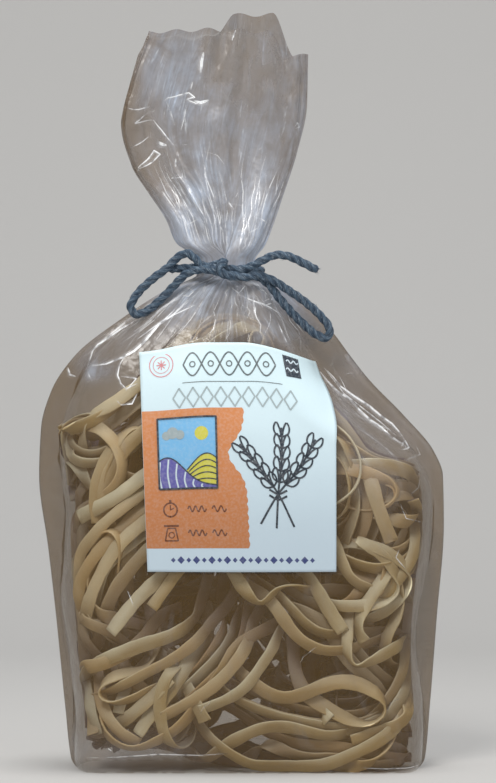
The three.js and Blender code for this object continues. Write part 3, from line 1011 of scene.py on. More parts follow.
# Ribbons that lie along the film. A row starts with their tilt in degrees, how many lie side by
# side and how far they spread. Across, height and depth behind the film follow, in turn.
STRANDS: dict[str, tuple[Row, ...]] = {
    "high_left": (
        (20, 1, 0, -50, 192, 3, -59, 187, 1, -68, 181, 1, -74, 174, 1, -78, 169, 3),
        (50, 1, 0, -98, 173, 0, -93, 169, 0, -86, 168, 0, -78, 171, 0, -69, 177, 2, -61, 183, 6),
        (40, 1, 0, -90, 174, 3, -88, 179, 2, -82, 182, 2, -76, 181, 2, -72, 177, 3, -68, 172, 6),
        (15, 1, 0, -74, 174, 4, -68, 169, 1, -62, 162, 0, -59, 153, 0, -60, 145, 0, -65, 138, 2,
         -71, 133, 6),
        (30, 2, 4, -91, 168, 3, -88, 160, 3, -81, 155, 3, -72, 154, 3, -62, 158, 4, -52, 166, 6),
        (62, 1, 0, -81, 154, 4, -78, 145, 4, -74, 138, 4, -68, 135, 5, -61, 139, 7),
        (35, 3, 9, -46, 180, 9, -60, 169, 8, -72, 161, 8, -83, 161, 8, -91, 169, 9),
        (25, 1, 0, -45, 150, 3, -52, 144, 1, -62, 137, 1, -72, 131, 1, -81, 126, 1),
    ),
    "mid_left": (
        (25, 3, 8, -45, 134, 4, -56, 125, 2, -66, 114, 1, -75, 102, 1, -79, 89, 2, -78, 78, 5),
        (20, 3, 7, -43, 122, 5, -52, 115, 2, -61, 104, 2, -68, 92, 2, -72, 79, 5),
        (50, 1, 0, -77, 101, 3, -73, 112, 1, -68, 120, 0, -62, 120, 0, -60, 112, 1, -64, 103, 4),
        (30, 3, 5, -82, 128, 6, -88, 116, 3, -90, 104, 2, -87, 91, 2, -80, 81, 3, -70, 76, 6),
        (15, 1, 0, -30, 106, 6, -40, 97, 2, -50, 89, 1, -58, 80, 1, -65, 70, 0),
        (12, 1, 0, -29, 104, 4, -34, 97, 1, -39, 90, 0, -44, 82, 0),
        (45, 2, 5, -71, 76, 5, -76, 86, 3, -75, 98, 3, -67, 106, 4, -56, 110, 6),
    ),
    "low_left": (
        (25, 1, 0, -75, 51, 4, -68, 56, 1, -58, 60, 1, -47, 64, 1, -37, 67, 1, -29, 71, 4, -23, 76, 13),
        (15, 1, 0, -87, 50, 2, -79, 52, 1, -70, 54, 1, -60, 58, 4),
        (30, 1, 0, -68, 40, 4, -60, 45, 1, -50, 50, 1, -39, 54, 1, -29, 60, 1, -21, 67, 5, -16, 73, 14),
        (45, 1, 0, -46, 52, 6, -55, 49, 2, -65, 46, 0, -70, 41, 0, -70, 36, 0, -65, 33, 0, -56, 36, 0,
         -47, 40, 2, -39, 45, 6),
        (18, 1, 0, -34, 47, 0, -41, 41, 0, -49, 34, 1, -57, 27, 4),
        (15, 1, 0, -30, 48, 5, -37, 39, 2, -44, 30, 1, -52, 18, 0),
        (25, 1, 0, -72, 26, 6, -69, 19, 2, -62, 14, 0, -53, 12, 0, -42, 16, 0, -32, 22, 0, -25, 30, 1,
         -18, 40, 2, -9, 52, 3, -2, 64, 6),
        (18, 1, 0, -40, 30, 0, -30, 33, 0, -20, 39, 0, -10, 48, 0, -2, 57, 2, 3, 66, 8, 5, 74, 17),
        (25, 1, 0, -21, 32, 1, -10, 36, 0, 2, 43, 0, 10, 54, 0, 16, 63, 3, 19, 71, 12),
        (30, 3, 8, -46, 32, 6, -33, 38, 4, -21, 48, 3, -11, 58, 5, -5, 67, 11, -3, 75, 19),
        (10, 1, 0, -26, 42, 4, -22, 35, 1, -18, 26, 0),
        (30, 2, 5, -86, 46, 5, -80, 37, 2, -76, 28, 2, -74, 19, 2),
        (20, 1, 0, -69, 34, 5, -65, 26, 3, -58, 18, 2, -51, 13, 2),
    ),
    "low_right": (
        (15, 1, 0, -1, 50, 5, 7, 44, 1, 16, 38, 0, 26, 38, 0, 35, 42, 0, 45, 46, 0, 55, 46, 0, 64, 42, 0,
         71, 37, 0, 73, 31, 0, 69, 26, 0, 61, 23, 0, 51, 26, 1, 41, 32, 3, 32, 37, 6),
        (25, 1, 0, -14, 15, 4, -6, 10, 0, 4, 4, 0, 16, 1, 0, 29, 1, 0, 42, 4, 0, 55, 10, 0, 68, 17, 0,
         80, 26, 0, 90, 36, 1, 94, 44, 4),
        (20, 1, 0, 54, 16, 0, 65, 19, 0, 77, 24, 0, 87, 33, 0, 94, 43, 2),
        (35, 1, 0, -11, 12, 4, 0, 18, 1, 13, 23, 1, 27, 22, 1, 40, 19, 2, 55, 20, 5),
        (45, 3, 4, -5, 42, 5, 8, 35, 3, 24, 30, 2, 40, 26, 2, 57, 25, 4, 71, 30, 7),
        (20, 3, 7, 64, 19, 6, 74, 29, 3, 82, 41, 1, 88, 53, 0, 92, 64, 3),
        (12, 1, 0, -5, 101, 6, -1, 94, 2, 4, 87, 0, 10, 82, 0, 14, 86, 0, 18, 92, 0, 26, 94, 1, 33, 90, 5),
        (35, 2, 4, 14, 87, 5, 22, 79, 1, 31, 70, 1, 41, 66, 1, 52, 67, 4),
        (15, 1, 0, 29, 101, 6, 36, 91, 2, 43, 80, 0, 50, 70, 0),
        (20, 1, 0, 73, 101, 5, 67, 92, 1, 61, 84, 0, 56, 76, 0, 56, 70, 0, 60, 66, 0),
        (15, 1, 0, 47, 111, 3, 50, 104, 0, 54, 96, 0, 62, 92, 0, 69, 88, 4),
        (15, 1, 0, 52, 70, 5, 51, 61, 1, 55, 52, 0, 65, 56, 0, 74, 61, 0, 84, 64, 2),
        (25, 1, 0, 75, 99, 5, 78, 88, 1, 77, 77, 1, 72, 67, 3),
        (30, 2, 6, 63, 82, 7, 74, 97, 4, 82, 110, 3, 87, 122, 5),
        (30, 3, 7, 10, 19, 8, 29, 12, 5, 49, 12, 4, 67, 8, 6),
        (25, 2, 6, 29, 84, 8, 44, 76, 6, 55, 59, 6, 69, 44, 8),
    ),
    "high_right": (
        (66, 1, 0, 42, 172, 5, 51, 167, 1, 58, 160, 0, 60, 150, 0, 58, 142, 0, 52, 136, 0, 44, 132, 4),
        (20, 1, 0, 51, 163, 5, 60, 160, 1, 71, 158, 0, 80, 157, 0, 86, 160, 4),
        (20, 1, 0, 57, 152, 4, 68, 153, 0, 78, 150, 0, 87, 146, 0, 93, 139, 0, 96, 131, 3),
        (10, 1, 0, 60, 153, 4, 64, 140, 0, 68, 128, 0, 74, 114, 0),
        (15, 1, 0, 84, 136, 0, 90, 132, 0, 94, 128, 4),
        (55, 1, 0, 67, 127, 4, 76, 125, 1, 84, 123, 1, 93, 125, 4),
        (35, 2, 5, 49, 111, 6, 61, 105, 3, 74, 104, 2, 86, 110, 2, 94, 122, 4),
        (25, 3, 8, 47, 168, 8, 56, 153, 7, 62, 132, 6, 55, 110, 8),
        (30, 2, 7, 60, 130, 7, 71, 138, 5, 82, 139, 5, 92, 132, 6),
        (25, 2, 5, 42, 184, 9, 52, 176, 7, 62, 166, 6, 72, 160, 6, 84, 152, 8),
        (40, 2, 6, 97, 124, 4, 92, 111, 4, 81, 101, 4, 67, 99, 5, 54, 104, 8),
    ),
    "top": (
        (30, 4, 5, -31, 208, 7, -26, 220, 4, -17, 229, 3, -5, 232, 3, 7, 230, 4, 16, 221, 6),
        (25, 3, 6, -23, 208, 5, -14, 217, 2, -3, 225, 2, 8, 231, 5),
        (60, 1, 0, 4, 212, 4, 4, 219, 1, 8, 223, 1, 13, 221, 1, 14, 216, 1, 10, 211, 4),
        (35, 3, 6, -46, 194, 9, -38, 206, 8, -28, 215, 7, -16, 219, 7),
    ),
}


def squeeze(value: Array, free: float) -> Array:
    """value up to free, and beyond it an exponential approach to 1, odd about 0."""
    past = np.maximum(np.abs(value) - free, 0)
    return np.clip(value, -free, free) + np.sign(value) * (1 - free) * (1 - np.exp(-past / (1 - free)))


def softened(values: Array, times: Array) -> Array:
    """Values averaged with their neighbours along each ribbon, by weights 1, 2, 1 and fixed ends.

    Args:
        values: ribbons x steps x 3.
        times: how often, for each ribbon.

    Returns:
        The averages.
    """
    values = values.copy()
    for turn in range(int(times.max())):
        part = values[times > turn]
        part[:, 1:-1] = (part[:, :-2] + 2 * part[:, 1:-1] + part[:, 2:]) / 4
        values[times > turn] = part
    return values


def doubled(values: Array) -> Array:
    """Values with one more step between each two, on a uniform Catmull-Rom curve.

    Args:
        values: ribbons x steps x 3.

    Returns:
        Nearly twice as many steps.
    """
    first, last = 2 * values[:, :1] - values[:, 1:2], 2 * values[:, -1:] - values[:, -2:-1]
    ends = np.concatenate([first, values, last], axis=1)
    finer = np.repeat(values, 2, axis=1)[:, :-1]
    finer[:, 1::2] = (9 * (ends[:, 1:-2] + ends[:, 2:-1]) - ends[:, :-3] - ends[:, 3:]) / 16
    return finer


@dataclass
class Ribbons:
    """Ribbons as arrays: middle lines (ribbons x steps x 3) and the way each face leans.

    box is half the size of the box that stands for a point, in thicknesses, widths and steps. near is
    how far apart two points may be tested. push and relax are how far one round of settling moves
    the ribbons apart, and how far it smooths them.
    """

    points: Array
    leans: Array
    width: float = 6.7
    thickness: float = 1.15
    box: Triple = (0.56, 0.47, 0.6)
    near: float = 6.5
    push: float = 1.4
    relax: float = 0.4

    def passes(self, reach: float) -> Array:
        """How many averagings blur each ribbon over a reach of millimetres."""
        pace = np.linalg.norm(np.diff(self.points, axis=1), axis=-1).mean(axis=1)
        return np.clip(np.round(2 * (reach / pace) ** 2), 1, 90).astype(int)

    def bent_faces(self) -> Array:
        """The directions that the flat faces look in.

        Dough bends over its flat side, so a face looks along its lean where the path is straight
        and along the bend where it bends hard, by a smooth step of the curvature.

        Returns:
            Unit directions, square to the path.
        """
        ahead = np.gradient(softened(self.points, self.passes(3.0)), axis=1)
        pace = np.linalg.norm(ahead, axis=-1, keepdims=True)
        bend = np.gradient(ahead / np.maximum(pace, 1e-6), axis=1) / np.maximum(pace, 0.2)
        share = smooth_step(np.linalg.norm(bend, axis=-1, keepdims=True), 1 / 55, 1 / 12)
        faces, last = np.empty_like(self.points), unit(self.leans[:, 0])
        for step in range(self.points.shape[1]):
            lean, curl = (
                way * np.where((way * last).sum(-1, keepdims=True) < 0, -1.0, 1.0)
                for way in (unit(self.leans[:, step]), unit(bend[:, step])))
            last = unit(lean * (1 - share[:, step]) + curl * share[:, step] + 0.6 * last)
            faces[:, step] = last
        faces = softened(faces, self.passes(5.0))
        ahead = heading(self.points)
        return unit(faces - ahead * (faces * ahead).sum(-1, keepdims=True))

    def near_pairs(self, reach: float) -> tuple[Array, Array]:
        """Points of different ribbons that are nearer than reach, each pair once.

        Args:
            reach: the distance.

        Returns:
            The numbers of each pair's first and second point.
        """
        flat = self.points.reshape(-1, 3).astype(np.float32)
        owner = np.repeat(np.arange(len(self.points)), self.points.shape[1])
        squares = (flat * flat).sum(axis=1)
        found = []
        for start in range(0, len(flat), 1500):
            rows = slice(start, start + 1500)
            gap = squares[rows, None] + squares[None] - 2 * flat[rows] @ flat.T
            first, second = np.nonzero((gap < reach * reach) & (owner[rows, None] < owner[None]))
            found.append(np.stack([first + start, second]))
        first, second = np.concatenate(found, axis=1)
        return first, second

    def settle(self, rounds: int, ease: Array, inside: Callable[[Array], Array]) -> None:
        """Pushes the ribbons apart, so that fewer run through each other.

        Each point stands for a flat box. Two boxes meet where their shadows overlap along all six
        of their axes, and they are pushed apart along the face or across axis that needs least.
        The pushes at a point are averaged, smoothed along the ribbon, and shared by ease.

        Args:
            rounds: how often they are pushed.
            ease: how easily each gives.
            inside: moves points back inside the film.
        """
        count, steps = self.points.shape[:2]
        gives = np.repeat(ease, steps)
        for turn in range(rounds):
            if turn % 4 == 0:
                first, second = self.near_pairs(self.near)
                faces = self.bent_faces()
            ahead = np.gradient(self.points, axis=1)
            pace, ahead = np.linalg.norm(ahead, axis=-1).ravel(), unit(ahead)
            axes = [each.reshape(-1, 3) for each in (faces, np.cross(faces, ahead), ahead)]
            sizes = (self.thickness + 0 * pace, self.width + 0 * pace, pace)
            halves = [share * size for share, size in zip(self.box, sizes)]
            flat = self.points.reshape(-1, 3)
            gap = flat[second] - flat[first]
            least, meets = np.full(len(first), np.inf), np.ones(len(first), bool)
            way = np.zeros((len(first), 3))
            for number, owner in ((n, o) for n in range(3) for o in (first, second)):
                axis = axes[number][owner]
                shadow = sum(
                    half[who] * np.abs((each[who] * axis).sum(-1))
                    for each, half in zip(axes, halves) for who in (first, second))
                along = (gap * axis).sum(-1)
                lap = shadow - np.abs(along)
                meets &= lap > 0
                better = (lap < least) & (number < 2)
                least = np.where(better, lap, least)
                way = np.where(better[:, None], axis * np.where(along < 0, -1, 1)[:, None], way)
            hit_first, hit_second = first[meets], second[meets]
            push = way[meets] * np.minimum(least[meets], 2.0)[:, None]
            shares = gives[hit_first] / (gives[hit_first] + gives[hit_second])
            total, hits = np.zeros((len(pace), 3)), np.zeros(len(pace))
            for who, part in ((hit_first, -shares), (hit_second, 1 - shares)):
                np.add.at(total, who, push * part[:, None])
                np.add.at(hits, who, 1.0)
            moved = (total / np.maximum(hits, 1.0)[:, None]).reshape(count, steps, 3)
            self.points = self.points + softened(moved, self.passes(8.0)) * self.push
            smooth = softened(self.points, self.passes(6.0)) - self.points
            self.points = inside(self.points + smooth * self.relax * ease[:, None, None])
        self.points = softened(self.points, self.passes(2.5))
        LOG.info("ribbons: %d pairs still meet of %d near ones", int(meets.sum()), len(meets))

    def add_to(self, parts: MeshParts, draw: Generator) -> None:
        """Sweeps the section, a flat strip with rounded edges, along the middle lines.

        It cups a little, as dough does when it dries: slow sine waves raise its middle, and others
        vary its width.

        Args:
            parts: the mesh that takes the ribbons.
            draw: the random numbers.
        """
        corners = np.array([(1, 0.4), (0.86, 1), (0, 1), (-0.86, 1), (-1, 0.4)])
        section = np.vstack([corners, corners[::-1] * (1, -1)])
        n, rows = self.points.shape[:2]
        faces = self.bent_faces()
        side = np.cross(heading(self.points), faces)[:, :, None]
        along = np.array([lengths(path)[-1] for path in self.points])[:, None] * np.linspace(0, 1, rows)
        wide = self.width / 2 * draw.uniform(0.84, 1.08, (n, 1)) * (
            1 + 0.05 * waves(draw, along, 0.026, 0.048) + 0.03 * waves(draw, along, 0.07, 0.13))
        cup = 0.9 * waves(draw, along, 0.011, 0.02) + 0.3 * waves(draw, along, 0.043, 0.079)
        high = section[:, 1] + (np.abs(section[:, 0]) < 0.1) * cup[..., None]
        skin = (self.points[:, :, None] + (section[:, 0] * wide[..., None])[..., None] * side
                + (high * self.thickness / 2)[..., None] * faces[:, :, None])
        caps = np.array([[0, 9, 5, 4], [9, 8, 6, 5], [8, 7, 7, 6], [0, 4, 3, 1], [1, 3, 2, 2]])
        one = np.vstack([grid_faces(rows, 10, closed=True), caps, caps[:, ::-1] + (rows - 1) * 10])
        number = np.arange(n)[:, None, None]
        uv = vectors(along[..., None] / 40 + 9 * number, section[:, 0])
        # painted shade: darker the deeper a point lies behind the film, and where its surface faces inwards
        deep = SHAPE.half_depth(skin[..., 0], skin[..., 2]) - np.abs(skin[..., 1])
        outward = unit(section[:, :1] ** 5 * side + np.sign(section[:, 1:]) * faces[:, :, None])
        facing = smooth_step(outward[..., 1] * np.sign(skin[..., 1]), -0.5, 0.1)
        # painted highlight: paler where the surface faces up to the front
        painted_highlight = np.clip((outward * unit(np.array([-0.35, -0.6, 0.72]))).sum(-1), 0, 1)
        tone, warmth = draw.uniform(0, 1, (n, 1, 1)), draw.uniform(0, 1, (n, 1, 1)) ** 2
        values = vectors(tone, warmth, np.exp(-np.maximum(deep - 4, 0) / 10) * facing, painted_highlight)
        parts.add(skin, one[None] + number * rows * 10, values, uv)


@dataclass
class PastaFill:
    """The nests of dry ribbon pasta in the bag, and the ribbons pressed against the film.

    heap is the outline of its top, and floor the height that its foot keeps, the rise of that on the
    left, and the two ends of the step up to it. hollows holds rows of five: across, height, half
    width, half height and depth of a dark gap between nests. The eases are how easily a ribbon gives
    when they settle. margins and loose hold a value for each ribbon.
    """

    steps: int = 52
    length: float = 270.0
    clearance: float = 2.4
    seed: int = 5
    settle_rounds: int = 12
    headroom: float = 12.0
    nest_ease: float = 1.0
    front_ease: float = 0.12
    back_ease: float = 0.3
    floor: Row = (3.4, 7.5, -6, -40)
    margins: Array = field(init=False)
    loose: Array = field(init=False)
    heap: Profile = Profile((
        -100, 176, -82, 184, -66, 191, -52, 203, -40, 217, -28, 228, -8, 234, 8, 231, 16, 223, 24, 212,
        35, 199, 45, 188, 52, 180, 60, 168, 74, 163, 100, 158))
    hollows: Row = (
        2, 80, 27, 15, 26, -46, 72, 14, 9, 18, 35, 58, 13, 9, 18, -6, 29, 14, 8, 14, -34, 86, 10, 10, 14)
    nests: tuple[Nest, ...] = (
        Nest("nest_low_left", (-42, 2, 40), (0.35, -1, 0.5), 30),
        Nest("nest_low_right", (47, 2, 36), (-0.2, -1, 0.7), 31),
        Nest("nest_left", (-52, 2, 103), (0.6, -1, -0.1), 30),
        Nest("nest_right", (52, 2, 96), (-0.6, -1, 0.2), 30),
        Nest("nest_high_left", (-48, 2, 156), (0.4, -1, 0.4), 29),
        Nest("nest_high_right", (52, 2, 146), (-0.5, -1, -0.3), 29),
        Nest("nest_middle", (0, 6, 180), (0.1, -1, 0.6), 30, 12),
    )

    def keep_inside(self, points: Array) -> Array:
        """The points, drawn softly inside the film.

        Across and in depth an exponential keeps them off the film by the clearance, and upwards
        another keeps them under the heap's outline. A ribbon's own margin narrows both. The foot
        rises by a smooth step to the left. Loose ribbons keep behind the hollows' bell curves.

        Args:
            points: ribbons x steps x 3.

        Returns:
            The moved points.
        """
        x, y, z = np.moveaxis(points, -1, 0)
        top = self.heap.at(x) - self.headroom - 70 * self.margins
        over = np.maximum(z - top, 0)
        z = np.minimum(z, top) + self.headroom * (1 - np.exp(-over / self.headroom))
        foot, rise, right, left = self.floor
        z = np.maximum(z, foot + rise * (1 - smooth_step(x, left, right)))
        wing = SHAPE.left_wing.at(z) * (0.6 - 0.35 * bell(z, 170, 16))
        left = SHAPE.left_edge.at(z) + wing + self.clearance
        right = SHAPE.right_edge.at(z) - SHAPE.right_wing.at(z) * 0.6 - self.clearance
        middle, reach = (left + right) / 2, (right - left) / 2 * (1 - self.margins)
        x = middle + reach * squeeze((x - middle) / reach, 0.9)
        half = np.maximum(SHAPE.half_depth(x, z) - self.clearance, 1.0)
        y = half * squeeze(y / half, 0.9)
        for across, height, wide, tall, deep in np.reshape(self.hollows, (-1, 5)):
            bound = deep * bell(x, across, wide) * bell(z, height, tall) - half
            y = np.where(self.loose, np.maximum(y, bound), y)
        return vectors(x, y, z)

    def loops(self, nest: Nest, draw: Generator) -> Ribbons:
        """The ribbons of one nest, each wound in a plane of its own.

        A point is middle + a cos t u + b sin t v + rise w. a, b and rise follow slow sine waves,
        t grows evenly, and u, v and w are the nest's axes tilted a little.

        Args:
            nest: the nest.
            draw: the random numbers.

        Returns:
            The ribbons.
        """
        n = nest.ribbons
        t = np.tile(np.linspace(0, 1, self.steps), (n, 1))
        w = unit(unit(np.array(nest.axis)) + draw.normal(0, 0.33, (n, 3)))
        u = unit(np.cross(w, draw.normal(0, 1, (n, 3))))
        v = np.cross(w, u)
        a = nest.reach * draw.uniform(0.55, 1.15, (n, 1)) * (1 + 0.2 * waves(draw, t, 0.4, 1.6))
        b = nest.reach * draw.uniform(0.4, 0.95, (n, 1)) * (1 + 0.22 * waves(draw, t, 0.4, 1.6))
        size = (a + b).mean(axis=1, keepdims=True) / 2
        angle = self.length * draw.uniform(0.7, 1.1, (n, 1)) / size * t * draw.choice([-1, 1], (n, 1))
        middle = np.array(nest.centre) + draw.normal(0, 1, (n, 3)) * (6, 11, 6)
        rise = 6 * waves(draw, t, 0.3, 1.2) + 2 * waves(draw, t, 1.5, 4.0)
        across, up = np.cos(angle)[..., None] * u[:, None], np.sin(angle)[..., None] * v[:, None]
        points = middle[:, None] + a[..., None] * across + b[..., None] * up + rise[..., None] * w[:, None]
        turn = (draw.uniform(0, math.pi, (n, 1)) + waves(draw, t, 0.3, 1.4))[..., None]
        return Ribbons(points, np.cos(turn) * (across + up) + np.sin(turn) * w[:, None])

    @staticmethod
    def led_on(route: Array, draw: Generator) -> Array:
        """The route, with each end that lies 3 mm deep or more led on into the bag.

        Args:
            route: places across, upwards and in depth.
            draw: the random numbers.

        Returns:
            The longer route.
        """
        for _ in range(2):
            route = route[::-1]
            way = route[-1] - route[-2]
            angle = math.atan2(way[1], way[0])
            for _ in range(3 if route[-1, 2] >= 3 else 0):
                angle += draw.normal(0, 0.45)
                step = (13 * math.cos(angle), 13 * math.sin(angle), 6.5)
                route = np.vstack([route, route[-1] + step])
        return route

    def strands(self, rows: Sequence[Sequence[float]], side: Side, draw: Generator) -> Ribbons:
        """Ribbons along the film, which follow their routes with slow waves of their own.

        Args:
            rows: rows of STRANDS.
            side: the front, or the back, where a route is mirrored and moved a little.
            draw: the random numbers.

        Returns:
            The ribbons.
        """
        lines, leans = [], []
        t = np.linspace(0, 1, self.steps)[None]
        for tilt, count, spread, *route in rows:
            for number in range(int(count)):
                path = smooth_path(self.led_on(np.reshape(route, (-1, 3)), draw), self.steps - 1)
                loose = 1.0 if count > 1 or side is Side.BACK else 0.25
                offset = spread * (2 * (number + 0.5) / count - 1)
                offset = offset + draw.normal(0, 1.6 * loose) * waves(draw, t, 0.5, 1.1)[0]
                x, z = (path[:, :2] + sideways(path[:, :2]) * offset[:, None]).T
                if side is Side.BACK:
                    x, z = -x + draw.normal(0, 5), z + draw.normal(0, 5)
                turn = math.radians(tilt + draw.normal(0, 9 * loose)) + 0.3 * waves(draw, t, 0.6, 1.3)[0]
                deep = path[:, 2] + 1.7 * number + 3.2 * np.abs(np.sin(turn))
                half = SHAPE.half_depth(x, z) - self.clearance
                y = side.value * np.maximum(half - deep, np.where(half > 6, -8, 0.6))
                points, out = vectors(x, y, z), np.array([0.0, side.value, 0.0])
                lift = unit(np.cross(heading(points), out))
                lines.append(points)
                leans.append(np.cos(turn)[:, None] * out + np.sin(turn)[:, None] * lift)
        return Ribbons(np.array(lines), np.array(leans))

    def build(self) -> None:
        """Winds the ribbons, lets them settle and makes one piece for each nest and bundle."""
        groups: list[tuple[str, Ribbons, float]] = []
        for number, nest in enumerate(self.nests):
            groups.append((nest.name, self.loops(nest, seeded(self.seed + number)), self.nest_ease))
        for number, (name, rows) in enumerate(STRANDS.items()):
            draw = seeded(self.seed + 50 + number)
            groups.append((f"front_{name}", self.strands(rows, Side.FRONT, draw), self.front_ease))
            groups.append((f"back_{name}", self.strands(rows, Side.BACK, draw), self.back_ease))
        ease = np.concatenate([np.full(len(group.points), ease) for _, group, ease in groups])
        draw = seeded(self.seed + 100)
        self.loose = (ease > self.front_ease)[:, None]
        self.margins = draw.uniform(0, np.where(self.loose, 0.16, 0.02))
        every = Ribbons(
            self.keep_inside(np.concatenate([group.points for _, group, _ in groups])),
            np.concatenate([group.leans for _, group, _ in groups]))
        x, y, z = np.moveaxis(every.points, -1, 0)
        press = smooth_step(np.abs(y) / np.maximum(SHAPE.half_depth(x, z), 1), 0.72, 0.95)
        press = (press * (ease == self.nest_ease)[:, None])[..., None]
        every.leans = every.leans * (1 - press) + np.sign(y)[..., None] * (0.0, 1.0, 0.0) * press
        every.settle(self.settle_rounds, ease, self.keep_inside)
        finish, start = PastaFinish().material(), 0
        for number, (name, group, give) in enumerate(groups):
            end = start + len(group.points)
            ribbons = Ribbons(every.points[start:end], every.leans[start:end])
            if give == self.nest_ease:
                ribbons = Ribbons(doubled(ribbons.points), doubled(ribbons.leans))
            parts = MeshParts(("tone", "warmth", "unshaded", "painted_highlight"))
            ribbons.add_to(parts, seeded(self.seed + 200 + number))
            keep(parts.piece(name, finish), "pasta")
            start = end


# ---- The label ----


@dataclass
class PaperLabel:
    """The paper label on the front: its left edge leans, and its upper corners sink and turn away.

    corners holds, for each upper corner, how far it sinks, and where that starts and ends.
    """

    foot: float = 100.3
    head: float = 212.7
    foot_left: float = -46.3
    head_left: float = -50.5
    right: float = 46.3
    gap: float = 0.85
    thickness: float = 0.3
    ink: float = 0.06
    turn: float = 1.4
    curl: float = 0.5
    corners: tuple[Triple, ...] = ((4.8, -16, -52), (9.5, 4, 46))

    def surface(self, along: Array, z: Array, proud: Array | float) -> Array:
        """Points on the front. On a round side they follow its ellipse by distance / radius.

        Args:
            along: distances along the film from the bag's middle.
            z: heights.
            proud: how far to stand off the film.

        Returns:
            Points in millimetres.
        """
        along, z = np.broadcast_arrays(np.asarray(along, float), np.asarray(z, float))
        flat_left, flat_right = SHAPE.flat(z)
        way = np.where(along < (flat_left + flat_right) / 2, -1, 1)
        round_ = SHAPE.side_round.at(z)
        angle = SHAPE.past_flat(along, z) / round_
        x = np.clip(along, flat_left, flat_right) + way * round_ * np.sin(angle)
        y = -(SHAPE.flare(x, z, np.cos(angle)) + np.cos(angle) * proud)
        return vectors(x + way * np.sin(angle) * proud, y, z)

    def slip(self, along: Array) -> Array:
        """How far the label's head sinks, by smooth steps towards both upper corners."""
        return sum(drop * smooth_step(along, start, end) for drop, start, end in self.corners)

    def printed(self, x: Array, z: Array, layer: int) -> Array:
        """Points of ink, which leans with the paper's left edge and sinks with its corners.

        Args:
            x: places across an upright sheet.
            z: heights on it.
            layer: the layer of ink.

        Returns:
            Points in millimetres.
        """
        up = (z - self.foot) / (self.head - self.foot)
        share = (self.right - x) / (self.right - self.head_left)
        lean = (self.foot_left - self.head_left) * (1 - up) * share
        proud = self.gap + self.thickness + self.ink * layer
        return self.surface(x + lean, z - 0.6 * self.slip(x) * up, proud)

    def build(self) -> None:
        """Makes the paper: an outer and an inner grid, joined round the edge, and the print on it.

        Its places are shares of the width, which ends on the round side, and of the height. Its
        head and right edge curl off the film by a square.
        """
        rows, columns = 76, 68
        up, across = np.meshgrid(np.linspace(0, 1, rows), np.linspace(0, 1, columns), indexing="ij")
        left = self.foot_left + (self.head_left - self.foot_left) * up
        z = self.foot + (self.head - self.slip(left + (self.right - left) * across) - self.foot) * up
        reach = np.minimum(self.right, SHAPE.flat(z)[1] + self.turn * SHAPE.side_round.at(z))
        along = left + (reach - left) * across
        lift = self.gap + self.curl * np.clip(1 - np.minimum(1 - up, 1 - across) / 0.05, 0, 1) ** 2
        skins = [self.surface(along, z, lift + high) for high in (self.thickness, 0)]
        faces, count = grid_faces(rows, columns), rows * columns
        number = np.arange(count).reshape(rows, columns)
        border = np.concatenate([number[0, :-1], number[:-1, -1], number[-1, :0:-1], number[:0:-1, 0]])
        after = np.roll(border, -1)
        rim = vectors(border, border + count, after + count, after)
        parts = MeshParts()
        parts.add(np.stack(skins), np.vstack([faces, faces[:, ::-1] + count, rim]))
        keep(parts.piece("label_sheet", PaperFinish().material()), "label", "label")
        LabelPrint(self).build()


